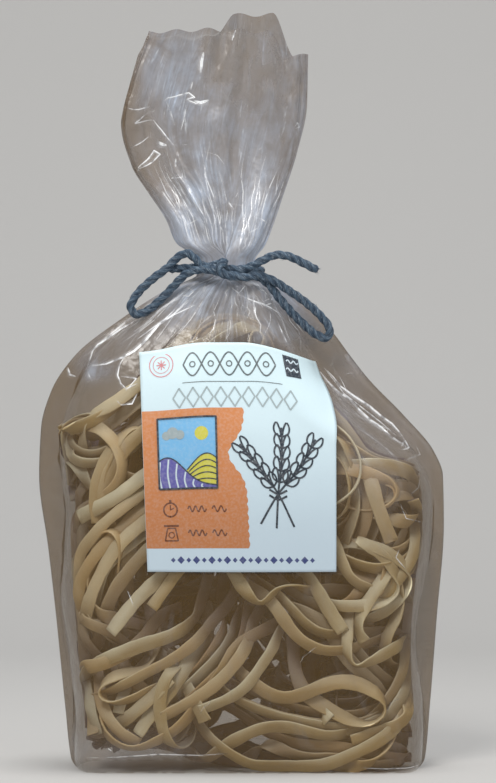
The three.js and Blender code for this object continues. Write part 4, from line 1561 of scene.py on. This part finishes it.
@dataclass
class LabelPrint:
    """The print on the label: fields of colour, a framed landscape, ornaments and line drawings.

    parts takes the ink that is being drawn. A higher layer lies over a lower one.
    """

    label: PaperLabel
    parts: MeshParts = field(default_factory=MeshParts)
    panel: tuple[float, float, float, float] = (-42.8, -13.6, 141.6, 176.6)

    def patch(self, x: Array, z: Array, layer: int = 1) -> None:
        """A printed patch: a grid of places, with x growing along its rows and z from row to row."""
        x, z = np.broadcast_arrays(x, z)
        self.parts.add(self.label.printed(x, z, layer), grid_faces(*x.shape))

    def line(self, route: Any, width: float, layer: int = 2, curved: bool = False) -> None:
        """A printed line of even width.

        Args:
            route: its (across, height) places.
            width: how wide it is.
            layer: its layer of ink.
            curved: whether it curves through its places or has corners.
        """
        steps = max(2, round(lengths(route)[-1] / 0.9))
        path = (smooth_path if curved else straight_path)(route, steps)
        square = sideways(path) * width / 2
        x, z = np.moveaxis(np.stack([path + square, path - square], axis=1), -1, 0)
        self.patch(x, z, layer)

    def ring(self, x: float, z: float, radius: float, width: float) -> None:
        """A printed ring."""
        angle = np.linspace(0, TURN, 33)
        self.line(vectors(x + radius * np.cos(angle), z + radius * np.sin(angle)), width)

    def disc(self, x: float, z: float, radius: float, layer: int) -> None:
        """A printed disc, as rings of points that shrink to its middle."""
        angle, reach = np.linspace(0, TURN, 29), np.linspace(radius, 0.02, 4)[:, None]
        self.patch(x + reach * np.cos(angle), z + reach * np.sin(angle), layer)

    def wave(self, left: float, right: float, height: float, swing: float, every: float,
             width: float, layer: int = 2) -> None:
        """A printed sine wave from left to right, about a height."""
        x = np.linspace(left, right, max(9, round((right - left) / 0.5)))
        self.line(vectors(x, height + swing * np.sin(TURN * (x - left) / every)), width, layer)

    def build(self) -> None:
        """Makes one piece for each ink."""
        for name, colour, draw in (
            ("orange", (0.67, 0.25, 0.085), self.orange_field),
            ("sky", (0.2, 0.52, 0.85), self.sky_panel),
            ("yellow", (0.68, 0.64, 0.07), self.yellow_shapes),
            ("violet", (0.13, 0.12, 0.42), self.violet_hill),
            ("pale", (0.66, 0.78, 0.85), self.pale_shapes),
            ("dark", (0.02, 0.032, 0.05), self.dark_lines),
            ("slate", (0.11, 0.14, 0.15), self.slate_lines),
            ("brown", (0.2, 0.06, 0.02), self.brown_signs),
            ("navy", (0.05, 0.075, 0.26), self.navy_row),
            ("grey", (0.36, 0.44, 0.46), self.grey_shapes),
            ("red", (0.66, 0.22, 0.24), self.red_seal),
        ):
            self.parts = MeshParts()
            draw()
            keep(self.parts.piece(f"print_{name}", InkFinish(f"ink_{name}", colour).material()), "print")

    def orange_field(self) -> None:
        """The orange field: its right border is scalloped, and a bell curve is cut out of it."""
        z, left = np.linspace(112, 180.8, 58)[:, None], self.label.head_left + 0.1
        scallops = 0.9 * np.abs(np.sin(math.pi * (z - 112) / 4.3))
        right = 1.6 - 0.03 * (z - 112) + scallops - 8.5 * bell(z, 158, 9.5)
        self.patch(left + (right - left) * np.linspace(0, 1, 33), z)

    def sky_panel(self) -> None:
        """The sky of the framed panel."""
        left, right, foot, head = self.panel
        self.patch(np.linspace(left, right, 18), np.linspace(foot, head, 29)[:, None], 3)

    def far_hill(self, x: Array) -> Array:
        """The outline of the yellow hill: a bell curve that stands on the panel's foot."""
        return self.panel[2] + 1.5 + 15.5 * bell(x, -18.5, 12)

    def near_hill(self, x: Array) -> Array:
        """The outline of the violet hill, another bell curve."""
        return self.panel[2] + 1.5 + 14 * bell(x, -38.5, 11.5)

    def hill(self, crest: Callable[[Array], Array], layer: int) -> None:
        """A printed hill, from the panel's foot to its outline."""
        x, foot = np.linspace(*self.panel[:2], 34), self.panel[2]
        self.patch(x, foot + (crest(x) - foot) * np.linspace(0, 1, 9)[:, None], layer)

    def yellow_shapes(self) -> None:
        """A low sun and the far hill."""
        self.disc(-21.0, 168.5, 3.4, 4)
        self.hill(self.far_hill, 5)

    def violet_hill(self) -> None:
        """The near hill."""
        self.hill(self.near_hill, 6)

    def pale_shapes(self) -> None:
        """The near hill's furrows, and two waves on the dark tag."""
        foot = self.panel[2]
        for top in -42.0 + 4.2 * np.arange(6):
            high = self.near_hill(top) - foot - 0.8
            self.line(((top, foot + high), (top - 0.6, foot + high / 2), (top + 0.4, foot + 0.03 * high)),
                      0.8, 7, curved=True)
        for height in (201.5, 205.5):
            self.wave(21.5, 28.0, height, 0.7, 3.2, 0.7, 4)

    def dark_lines(self) -> None:
        """The panel's frame and hills in outline, a sheaf of three ears and a dark tag."""
        left, right, foot, head = self.panel
        self.line(((left, foot), (left, head), (right, head), (right, foot), (left, foot)), 0.9, 9)
        x = np.linspace(left, right, 40)
        near = self.near_hill(x)
        self.line(vectors(x, near), 0.6, 8)
        for share in (1.0, 0.82, 0.64, 0.46, 0.28):
            ridge = foot + (self.far_hill(x) - foot) * share
            if (ridge > near).sum() > 3:
                self.line(vectors(x, ridge)[ridge > near], 0.55, 8)
        for stem in (
            ((25, 123), (17, 139), (8, 151), (-2, 163)),
            ((16, 122), (17, 139), (19, 158), (19, 172)),
            ((8, 124), (17, 139), (28, 153), (36, 168)),
        ):
            self.ear(smooth_path(stem, 44))
        for height in (137.2, 140.0):
            self.line(((12.5, height + 1), (17, height - 1), (21.5, height + 1)), 1.0, 4, curved=True)
        z = np.linspace(198, 209.5, 10)[:, None]
        self.patch(21.4 - 0.2 * (z - 199) + (8.1 + 0.08 * (z - 199)) * np.linspace(0, 1, 6), z, 3)

    def ear(self, stem: Array) -> None:
        """A line drawing of one ear: its stem, and almond-shaped grains in pairs up to its tip.

        Args:
            stem: the stem's places, with the tip last.
        """
        self.line(stem, 1.0, 3)
        for at in (20, 25, 30, 35, 40):
            ahead = unit(stem[at + 1] - stem[at])
            for way in (-1, 1):
                out = np.array([-ahead[1], ahead[0]]) * way
                grain = [stem[at] + out * wide + ahead * far for wide, far in (
                    (0.2, 0), (3.2, 1.6), (3.9, 4.6), (2.6, 7.2), (1.1, 4.4), (0.2, 0))]
                self.line(grain, 0.9, 3, curved=True)

    def slate_lines(self) -> None:
        """The head ornament, a braid of two waves with rings in its eyes, and the rule below it."""
        for way in (-1, 1):
            self.wave(-29.2, 16.2, 202.4, 5.6 * way, 18.16, 0.75)
        for step in range(5):
            self.ring(-24.66 + 9.08 * step, 202.4, 1.3, 0.6)
        self.line(((-29.8, 193.6), (19.5, 193.6)), 0.35)

    def brown_signs(self) -> None:
        """A clock and a kitchen scale, each with two short waves beside it."""
        for height in (131.4, 119.6):
            self.wave(-28.8, -19.5, height, 1.5, 3.1, 0.7)
            self.wave(-16.5, -9.3, height, 1.5, 3.6, 0.7)
        x, z = -37.6, 131.2
        self.ring(x, z, 3.4, 0.8)
        self.line(((x, z + 3.4), (x, z + 5.0)), 1.2)
        self.line(((x + 1.9, z + 0.9), (x, z), (x, z + 2.4)), 0.6)
        x, z = -37.4, 119.6
        self.line(((x - 3.8, z + 3.6), (x + 3.8, z + 3.6)), 1.0)
        self.line(((x - 2.0, z + 2.4), (x - 3.3, z - 3.8), (x + 3.3, z - 3.8), (x + 2.0, z + 2.4),
                   (x - 2.0, z + 2.4)), 0.7)
        self.ring(x, z - 1.0, 1.4, 0.55)

    def navy_row(self) -> None:
        """The row along the foot: plain lozenges, large and small in turn."""
        for step in range(19):
            half = 1.9 if step % 2 else 1.25
            up = half * np.linspace(-1, 1, 5)[:, None]
            wide = np.maximum(half - np.abs(up), 0.05)
            self.patch(-37.0 + 3.95 * step + wide * np.array([-1, 0, 1]), 106.2 + up)

    def grey_shapes(self) -> None:
        """A second, paler ornament of open lozenges, and a cloud in the panel."""
        for x in -31.6 + 6.9 * np.arange(9):
            self.line(((x - 3.1, 186.2), (x, 191.0), (x + 3.1, 186.2), (x, 181.4), (x - 3.1, 186.2)), 0.8)
        for x, z, radius, layer in ((-38.5, 168.0, 2.2, 4), (-35.4, 169.2, 2.9, 5), (-31.8, 168.2, 2.3, 6)):
            self.disc(x, z, radius, layer)

    def red_seal(self) -> None:
        """A faint round seal with a plain star of strokes."""
        x, z = -40.0, 203.4
        self.ring(x, z, 5.8, 0.45)
        self.ring(x, z, 4.0, 0.3)
        for angle in np.arange(4) * math.pi / 4:
            right, up = 2.4 * math.cos(angle), 2.4 * math.sin(angle)
            self.line(((x - right, z - up), (x + right, z + up)), 0.5)


# ---- The film's pressed creases, drawn as painted highlights ----

# Pressed folds, drawn as painted highlight lines. A row starts with the painted highlight's strength
# and how wide it is. Across and height follow, in turn.
CREASE_GLINTS: tuple[Row, ...] = (
    (0.9, 0.8, -48, 226, -53, 223.5, -61, 219, -67, 214.5, -72, 211.5, -74.5, 208.5, -77.5, 199),
    (1, 1, -26.5, 234, -34, 226.5, -41.5, 221, -48, 213, -53, 208.5, -58, 205.5, -67, 202, -74, 201),
    (0.6, 0.5, -31.5, 231, -38.5, 224, -46, 218.5, -52, 214),
    (0.9, 0.6, -58, 205, -60, 201.5, -61, 196.5, -59.5, 192.5, -57, 190, -51.5, 192.5),
    (0.8, 0.5, -57, 189, -52, 195, -59.5, 196),
    (0.9, 0.6, -51.5, 187.5, -54, 182.5, -59.5, 182, -61.5, 184),
    (0.9, 0.9, -87, 200, -86, 196.5, -83, 195.5),
    (0.6, 0.5, -76, 197.5, -74, 193.5),
    (1, 0.9, 42.5, 198.5, 45.5, 195.5, 49.5, 190.5, 56.5, 185.5, 63.5, 181, 70, 175.5, 75, 172,
     78.5, 168, 81.5, 163.5),
    (1, 1, 39, 198, 42.5, 193.5, 48, 188, 53.5, 184.5, 58.5, 179, 64, 174, 70, 170, 75, 165, 80, 161.5),
    (0.7, 0.5, 41, 200, 51, 187, 60, 180, 69, 173, 77, 166),
    (0.9, 0.6, 78.5, 161, 81.5, 163.5, 83.5, 160, 79, 159.5),
    (1, 1.4, -19, 365, -20, 360, -20.5, 354),
    (0.6, 0.6, -24.5, 349.5, -25.5, 345),
    (1, 0.7, -39, 340.5, -37, 342.5, -31.5, 343.5, -26.5, 343.5, -23.5, 341, -27.5, 340, -26, 339,
     -23, 338, -17, 340.5),
    (1, 1.4, -24, 339, -20.5, 339, -16.5, 341),
    (0.7, 0.5, -37.5, 340, -35.5, 334.5, -33.5, 327),
    (0.7, 0.5, -27.5, 337, -29, 329, -30.5, 323.5),
    (0.6, 0.5, -56, 336.5, -51, 336, -46, 336.5),
    (0.6, 0.5, -43.5, 334.5, -48.5, 332.5, -52.5, 328.5, -44.5, 329.5),
    (0.95, 0.6, -44.5, 329.5, -40, 324.5, -34, 316.5),
    (0.6, 0.5, -47, 320.5, -54, 315),
    (1, 1.8, -42.5, 318, -40.5, 317, -37.5, 316.5),
    (1, 0.7, -52, 302, -47, 309, -44.5, 313, -41, 311, -44.5, 307.5, -52, 302),
    (0.8, 0.6, -33, 309.5, -33, 304.5),
    (0.8, 0.5, -32, 300.5, -26.5, 293.5, -25.5, 288.5),
    (0.7, 0.5, -39, 291.5, -35.5, 285.5, -30.5, 277, -29.5, 274),
    (0.7, 0.7, -7, 285.5, -4, 281.5),
    (0.7, 0.6, 6, 281, 13, 276),
    (0.6, 0.5, 4.5, 273, 13, 274, 12.5, 266.5),
    (0.8, 0.5, 25, 334.5, 26.5, 337, 29, 334, 25.5, 333.5),
    (0.9, 0.6, -3, 377.5, -5, 372),
    (0.8, 0.5, -27.5, 240, -24, 238, -26.5, 235.5, -31, 236),
    (0.7, 0.5, -22.5, 231.5, -30, 228, -37.5, 224.5),
    (0.8, 0.5, -5.5, 240, -1.5, 237, 3, 242.5),
    (0.9, 0.6, 10, 233, 15.5, 235.5, 14, 232, 10, 231),
    (0.8, 0.5, 5.5, 243, 11, 237, 13.5, 234),
    (0.8, 0.6, -1, 236, 10, 231.5, 20.5, 226.5),
    (0.7, 0.5, 6.5, 230.5, 6.5, 226.5),
    (0.7, 0.5, 17, 223, 22.5, 212),
    (0.6, 0.4, 20.5, 234, 25, 225, 31, 217),
    (0.5, 0.45, -77, 8, -61, 8.5, -41, 10, -21, 9.5, -7, 10.5),
    (0.6, 0.45, 59, 3, 71, 2.5, 83, 3, 90.5, 3.5),
    (0.6, 0.4, -66, 13, -64, 11.5),
)


@dataclass
class CreaseGlintLines:
    """Narrow strips that stand just proud of the film, where it is pressed into a fold: painted highlights.

    Each has a line of painted highlight on one side, and a painted sheen that fades over sheen half
    widths on the other. looks are the strengths of a strip's four rows of points.
    """

    film: FilmBag
    fan: int = 84
    stray: int = 70
    sheen: float = 4.0
    proud: float = 0.15
    looks: Row = (1.0, 0.9, 0.28, 0.0)
    draw: Generator = field(default_factory=lambda: seeded(3))
    parts: MeshParts = field(default_factory=lambda: MeshParts(("strength",)))

    def strip(self, route: Array, width: float, strength: float, side: Side) -> None:
        """One crease: it narrows and fades out towards both ends.

        Args:
            route: (across, height) places.
            width: its width in the middle.
            strength: how strong its painted highlight is.
            side: the side of the film that it lies on.
        """
        path = straight_path(route, max(5, round(lengths(route)[-1] / 0.8)))
        fade = np.sin(np.linspace(0.12, math.pi - 0.12, len(path)))[:, None] ** 0.5
        square = sideways(path) * width * fade / 2
        rails = path[:, None] + square[:, None] * np.array([1, -1, -1.1, -self.sheen])[:, None]
        x, z = rails[..., 0], rails[..., 1]
        if np.minimum(x - SHAPE.left_edge.at(z), SHAPE.right_edge.at(z) - x).min() < 0.3:
            return
        share = SHAPE.share_at(x, z)
        points = SHAPE.point(share, z, side, self.film.crumple(share, z, side) + self.proud)
        values = (strength * fade * np.array(self.looks))[..., None]
        faces = grid_faces(len(path), 4)[:, ::-side.value]
        self.parts.add(SHAPE.drawn_down(points, share, side), faces, values)

    def fans(self) -> None:
        """Fine creases that spread from the tied neck at an even share between the edges."""
        draw = self.draw
        for number in range(2 * self.fan):
            side, up = Side.FRONT if number % 2 else Side.BACK, number % 4 < 2
            start, reach = draw.uniform(6, 16), draw.uniform(8, 62) if up else draw.uniform(6, 34)
            z = SHAPE.neck + (1 if up else -1) * np.linspace(start, start + reach, 7)
            share = draw.uniform(0.04, 0.96) + draw.normal(0, 0.018, 7).cumsum() * 0.7
            left, right = SHAPE.left_edge.at(z), SHAPE.right_edge.at(z)
            route = vectors(left + np.clip(share, 0.02, 0.98) * (right - left), z)
            self.strip(route, draw.uniform(0.22, 0.5), draw.uniform(0.15, 0.7), side)

    def strays(self) -> None:
        """Short bent creases: one to three legs, each turned from the last."""
        draw = self.draw
        for number in range(self.stray):
            side = Side.BACK if number % 3 else Side.FRONT
            z = draw.uniform(268, 352) if number % 2 else draw.uniform(20, 225)
            left, right = SHAPE.left_edge.at(z), SHAPE.right_edge.at(z)
            if side is Side.FRONT and 90 < z < 222:
                left = right - 30
            place = np.array([draw.uniform(left + 6, right - 6), z])
            angle, route = draw.uniform(0, TURN), [place]
            for _ in range(draw.integers(1, 4)):
                angle += draw.normal(0, 1.1)
                place = place + draw.uniform(2.5, 9) * np.array([math.cos(angle), math.sin(angle)])
                route.append(place)
            self.strip(np.array(route), draw.uniform(0.2, 0.4), draw.uniform(0.2, 0.6), side)

    def build(self) -> None:
        """Makes all the pressed creases as one piece."""
        for strength, width, *route in CREASE_GLINTS:
            path = np.reshape(route, (-1, 2))
            self.strip(path, width, strength, Side.FRONT)
            self.strip(path * (-1, 1), width, strength * 0.8, Side.BACK)
        self.fans()
        self.strays()
        keep(self.parts.piece("film_crease_glints", CreaseGlintFinish().material()), "film")


# ---- The cord ----


@dataclass
class TieCord:
    """The twisted cord, tied round the neck in a bow. Its routes hold x, y and z in turn.

    groove is how deep the section may go in, and core the circle that it is blended with, both as
    radii in diameters. relief is the section's share in the blend.
    """

    diameter: float = 4.5
    strands: int = 3
    lay: float = 15.0
    step: float = 0.75
    sides: int = 30
    fibres: int = 1100
    end_fibres: int = 40
    relief: float = 0.55
    groove: float = 0.33
    core: float = 0.47
    seed: int = 8
    right_tail: Row = (
        37.6, -20, 248.2, 30.2, -20.5, 252, 22.8, -21, 255.3, 16.4, -21, 255.8, 9.8, -20.5, 253,
        5, -19.8, 250.4, -1.2, -18.8, 248.8)
    left_loop: Row = (
        -8.5, -18.2, 248.6, -14, -18.4, 249.4, -19.8, -18.4, 250.8, -23.6, -17.6, 254.6,
        -27.2, -16.8, 256.8, -31.6, -16, 255, -37, -15.5, 249.6, -44.2, -15, 244.2, -52, -15, 236.6,
        -55.2, -15, 230, -52.6, -15, 226.6, -47, -15, 228.4, -39.6, -15.2, 234.6, -33.4, -16, 241,
        -27.6, -17.6, 246.6, -20.6, -19.6, 248.8, -13.5, -20.6, 248)
    right_loop: Row = (
        -6, -21, 246, 0.5, -20.6, 245, 8.4, -19.2, 245.6, 15.2, -17.8, 243.4, 22.8, -16, 238.6,
        31.2, -15.2, 232.8, 38.6, -15, 226.2, 43.4, -15, 219.4, 42.2, -15, 215, 37.4, -15, 216.2,
        30.6, -15, 221.6, 24, -15.2, 228.2, 18.2, -15, 235, 13.6, -15, 241, 7.5, -15.8, 245.4,
        0, -17.4, 246.6)
    left_tail: Row = (
        -5.4, -21.4, 245.4, -9.6, -24, 246.8, -11, -24.2, 249.6, -9, -21.6, 251.8, -9.6, -17.2, 252.4,
        -15, -15.6, 250.6, -24, -14.6, 249.6, -31, -13.6, 249.4, -36.5, -12, 249)

    def route(self) -> Array:
        """The route from the right tail's cut end to the left tail's, once round the neck.

        Returns:
            Points in millimetres.
        """
        angle = np.radians(np.linspace(22, 340, 15))
        wrap = vectors(-8 - 17.4 * np.sin(angle), -13.6 * np.cos(angle), np.linspace(250.2, 248, 15))
        bow = (*self.left_loop, *self.right_loop, *self.left_tail)
        return np.vstack([np.reshape(self.right_tail, (-1, 3)), wrap, np.reshape(bow, (-1, 3))])

    def build(self) -> None:
        """Makes the cord and logs its length.

        The section is the outline of round strands side by side, at d cos g + sqrt(p^2 - d^2 sin^2 g)
        from the middle, with g the angle from the nearest strand. It is blended with a circle, and
        turns once in every lay of length. Its axes are carried along the path without a twist, by
        taking off at each step what points along the path.
        """
        length = float(lengths(smooth_path(self.route(), 900))[-1])
        path = smooth_path(self.route(), round(length / self.step))
        ahead, across = heading(path), np.empty_like(path)
        carried = unit(np.cross(ahead[0], [0.0, 0.0, 1.0]))
        for number, forward in enumerate(ahead):
            carried = unit(carried - forward * np.dot(carried, forward))
            across[number] = carried
        angle = np.linspace(0, TURN, self.sides, endpoint=False)[None, :]
        along = np.linspace(0, length, len(path))[:, None]
        sector = TURN / self.strands
        turned = angle - TURN * along / self.lay
        off = (turned + sector / 2) % sector - sector / 2
        strand = self.diameter / 2 / (1 + 1 / math.sin(math.pi / self.strands))
        out = strand / math.sin(math.pi / self.strands)
        reach = out * np.cos(off) + np.sqrt(np.maximum(strand**2 - (out * np.sin(off)) ** 2, 0))
        reach = np.maximum(reach, self.groove * self.diameter)
        crown = np.clip((reach / (self.diameter / 2) - 0.66) / 0.34, 0, 1)[..., None]
        reach = self.core * self.diameter * (1 - self.relief) + reach * self.relief
        reach = reach * (0.55 + 0.45 * smooth_step(np.minimum(along, length - along), -0.2, 1.6))
        skin = path[:, None] + reach[..., None] * (
            np.cos(angle)[..., None] * across[:, None]
            + np.sin(angle)[..., None] * np.cross(ahead, across)[:, None])
        parts = MeshParts(("crown",))
        uv = vectors(turned / sector, along / 10)
        parts.add(skin, grid_faces(len(path), self.sides, closed=True)[:, ::-1], crown, uv)
        for row, way in ((0, 1), (-1, -1)):
            disc = path[row] + (skin[row] - path[row]) * np.array([1.0, 0.55, 0.02])[:, None, None]
            parts.add(disc, grid_faces(3, self.sides, closed=True)[:, ::way], 0.4)
        finish = CordFinish().material()
        piece = keep(parts.piece("tie_bow", finish, weld=True), "cord", "tie_cord")
        hairs = keep(self.hairs(path, skin).piece("tie_fibres", finish), "cord")
        LOG.info("%s: %.1f mm of cord", piece.name, length)

    def hairs(self, path: Array, skin: Array) -> MeshParts:
        """Loose fibres: thin three-sided spikes, with more of them at the cut ends.

        A fibre's point at share t is root + length t (way (1 - t / 2) + ahead t).

        Args:
            path: the cord's middle line.
            skin: its surface, steps x sides x 3.

        Returns:
            The mesh.
        """
        draw, steps, n = seeded(self.seed), len(path), self.end_fibres
        ends = np.r_[draw.integers(0, 3, n), draw.integers(steps - 4, steps - 1, n)]
        row = np.r_[draw.integers(2, steps - 2, self.fibres), ends]
        root = skin[row, draw.integers(0, self.sides, len(row))]
        out, forward = unit(root - path[row]), heading(path)[row]
        ahead = forward * draw.choice([-1, 1], (len(row), 1))
        ahead[-2 * n:] = np.abs(draw.normal(0.7, 0.2, (2 * n, 1))) * forward[-2 * n:]
        ahead[-2 * n:-n] *= -1
        way = out + draw.normal(0, 0.5, out.shape)
        length = draw.uniform(0.7, 2.2, (len(row), 1, 1, 1))
        root, out, way, ahead = (each[:, None, None] for each in (root, out, way, ahead))
        t = np.linspace(0, 1, 4)[None, :, None, None]
        line = root - 0.15 * out + length * t * (way * (1 - t / 2) * 0.6 + ahead * t)
        angle = np.linspace(0, TURN, 3, endpoint=False)[None, None, :, None]
        first = unit(np.cross(way, ahead))
        second = unit(np.cross(first, way))
        points = line + 0.085 * (1.02 - t) * (np.cos(angle) * first + np.sin(angle) * second)
        one = np.vstack([grid_faces(4, 3, closed=True), [[0, 2, 1, 1], [9, 10, 11, 11]]])
        parts = MeshParts(("crown",))
        parts.add(points, one[None] + 12 * np.arange(len(row))[:, None, None], 0.9)
        return parts


# ---- The studio ----


@dataclass
class Studio:
    """The pale sweep, the soft lights and the camera."""

    target: Triple = (3.0, 0.0, 188.0)
    distance: float = 2000.0
    rise: float = 1.0
    frame_height: float = 391.5
    sky: Row = (0.94, 0.97, 1.0, 1.0)
    sky_strength: float = 0.42

    def sweep(self) -> None:
        """The floor, bent up into a backdrop: a straight run, a quarter circle, a straight rise."""
        bend = np.linspace(0, math.pi / 2, 13)
        y = np.r_[-1900, 700 + 500 * np.sin(bend), 1200]
        z = np.r_[0, 500 - 500 * np.cos(bend), 2600]
        x = np.linspace(-2200, 2200, 3)[None, :]
        parts = MeshParts()
        parts.add(vectors(x, y[:, None], z[:, None]), grid_faces(len(y), 3))
        parts.piece("studio_sweep", FloorFinish().material())

    def build(self) -> None:
        """Makes the sweep, the soft square lights that face the bag, the world and the camera."""
        self.sweep()
        scene, world = bpy.context.scene, bpy.data.worlds.new("studio")
        for name, place, size, watts, colour in (
            ("key", (-420, -1050, 1200), 420, 10.6, (1.0, 0.98, 0.95)),
            ("fill", (1300, -1300, 700), 1300, 5.2, (0.98, 0.98, 1.0)),
            ("top", (100, -100, 1500), 500, 9.0, WHITE),
        ):
            light = bpy.data.lights.new(name, "AREA")
            light.shape, light.size, light.energy, light.color = "SQUARE", size * MM, watts, colour
            lamp = bpy.data.objects.new(name, light)
            lamp.location = Vector(place) * MM
            way = Vector(self.target) * MM - lamp.location
            lamp.rotation_euler = way.to_track_quat("-Z", "Y").to_euler()
            scene.collection.objects.link(lamp)
        world.use_nodes = True
        background = world.node_tree.nodes["Background"]
        background.inputs["Color"].default_value = self.sky
        background.inputs["Strength"].default_value = self.sky_strength
        scene.world = world
        scene.view_settings.view_transform = "Standard"
        data = bpy.data.cameras.new("camera")
        data.sensor_fit, data.sensor_height, data.clip_end = "VERTICAL", 24.0, 20.0
        data.lens = data.sensor_height * self.distance / self.frame_height
        camera = bpy.data.objects.new("camera", data)
        rise = math.radians(self.rise)
        offset = Vector((0.0, -math.cos(rise), math.sin(rise))) * self.distance
        camera.location = (Vector(self.target) + offset) * MM
        camera.rotation_euler = (math.pi / 2 - rise, 0.0, 0.0)
        scene.collection.objects.link(camera)
        scene.camera = camera


def main() -> None:
    """Builds the studio and the cord first, then the rest of the bag."""
    logging.basicConfig(level=logging.INFO, format="%(name)s %(message)s")
    Studio().build()
    TieCord().build()
    film = FilmBag()
    film.build()
    CreaseGlintLines(film).build()
    PastaFill().build()
    PaperLabel().build()
    bpy.context.view_layer.update()


if __name__ == "__main__":
    main()
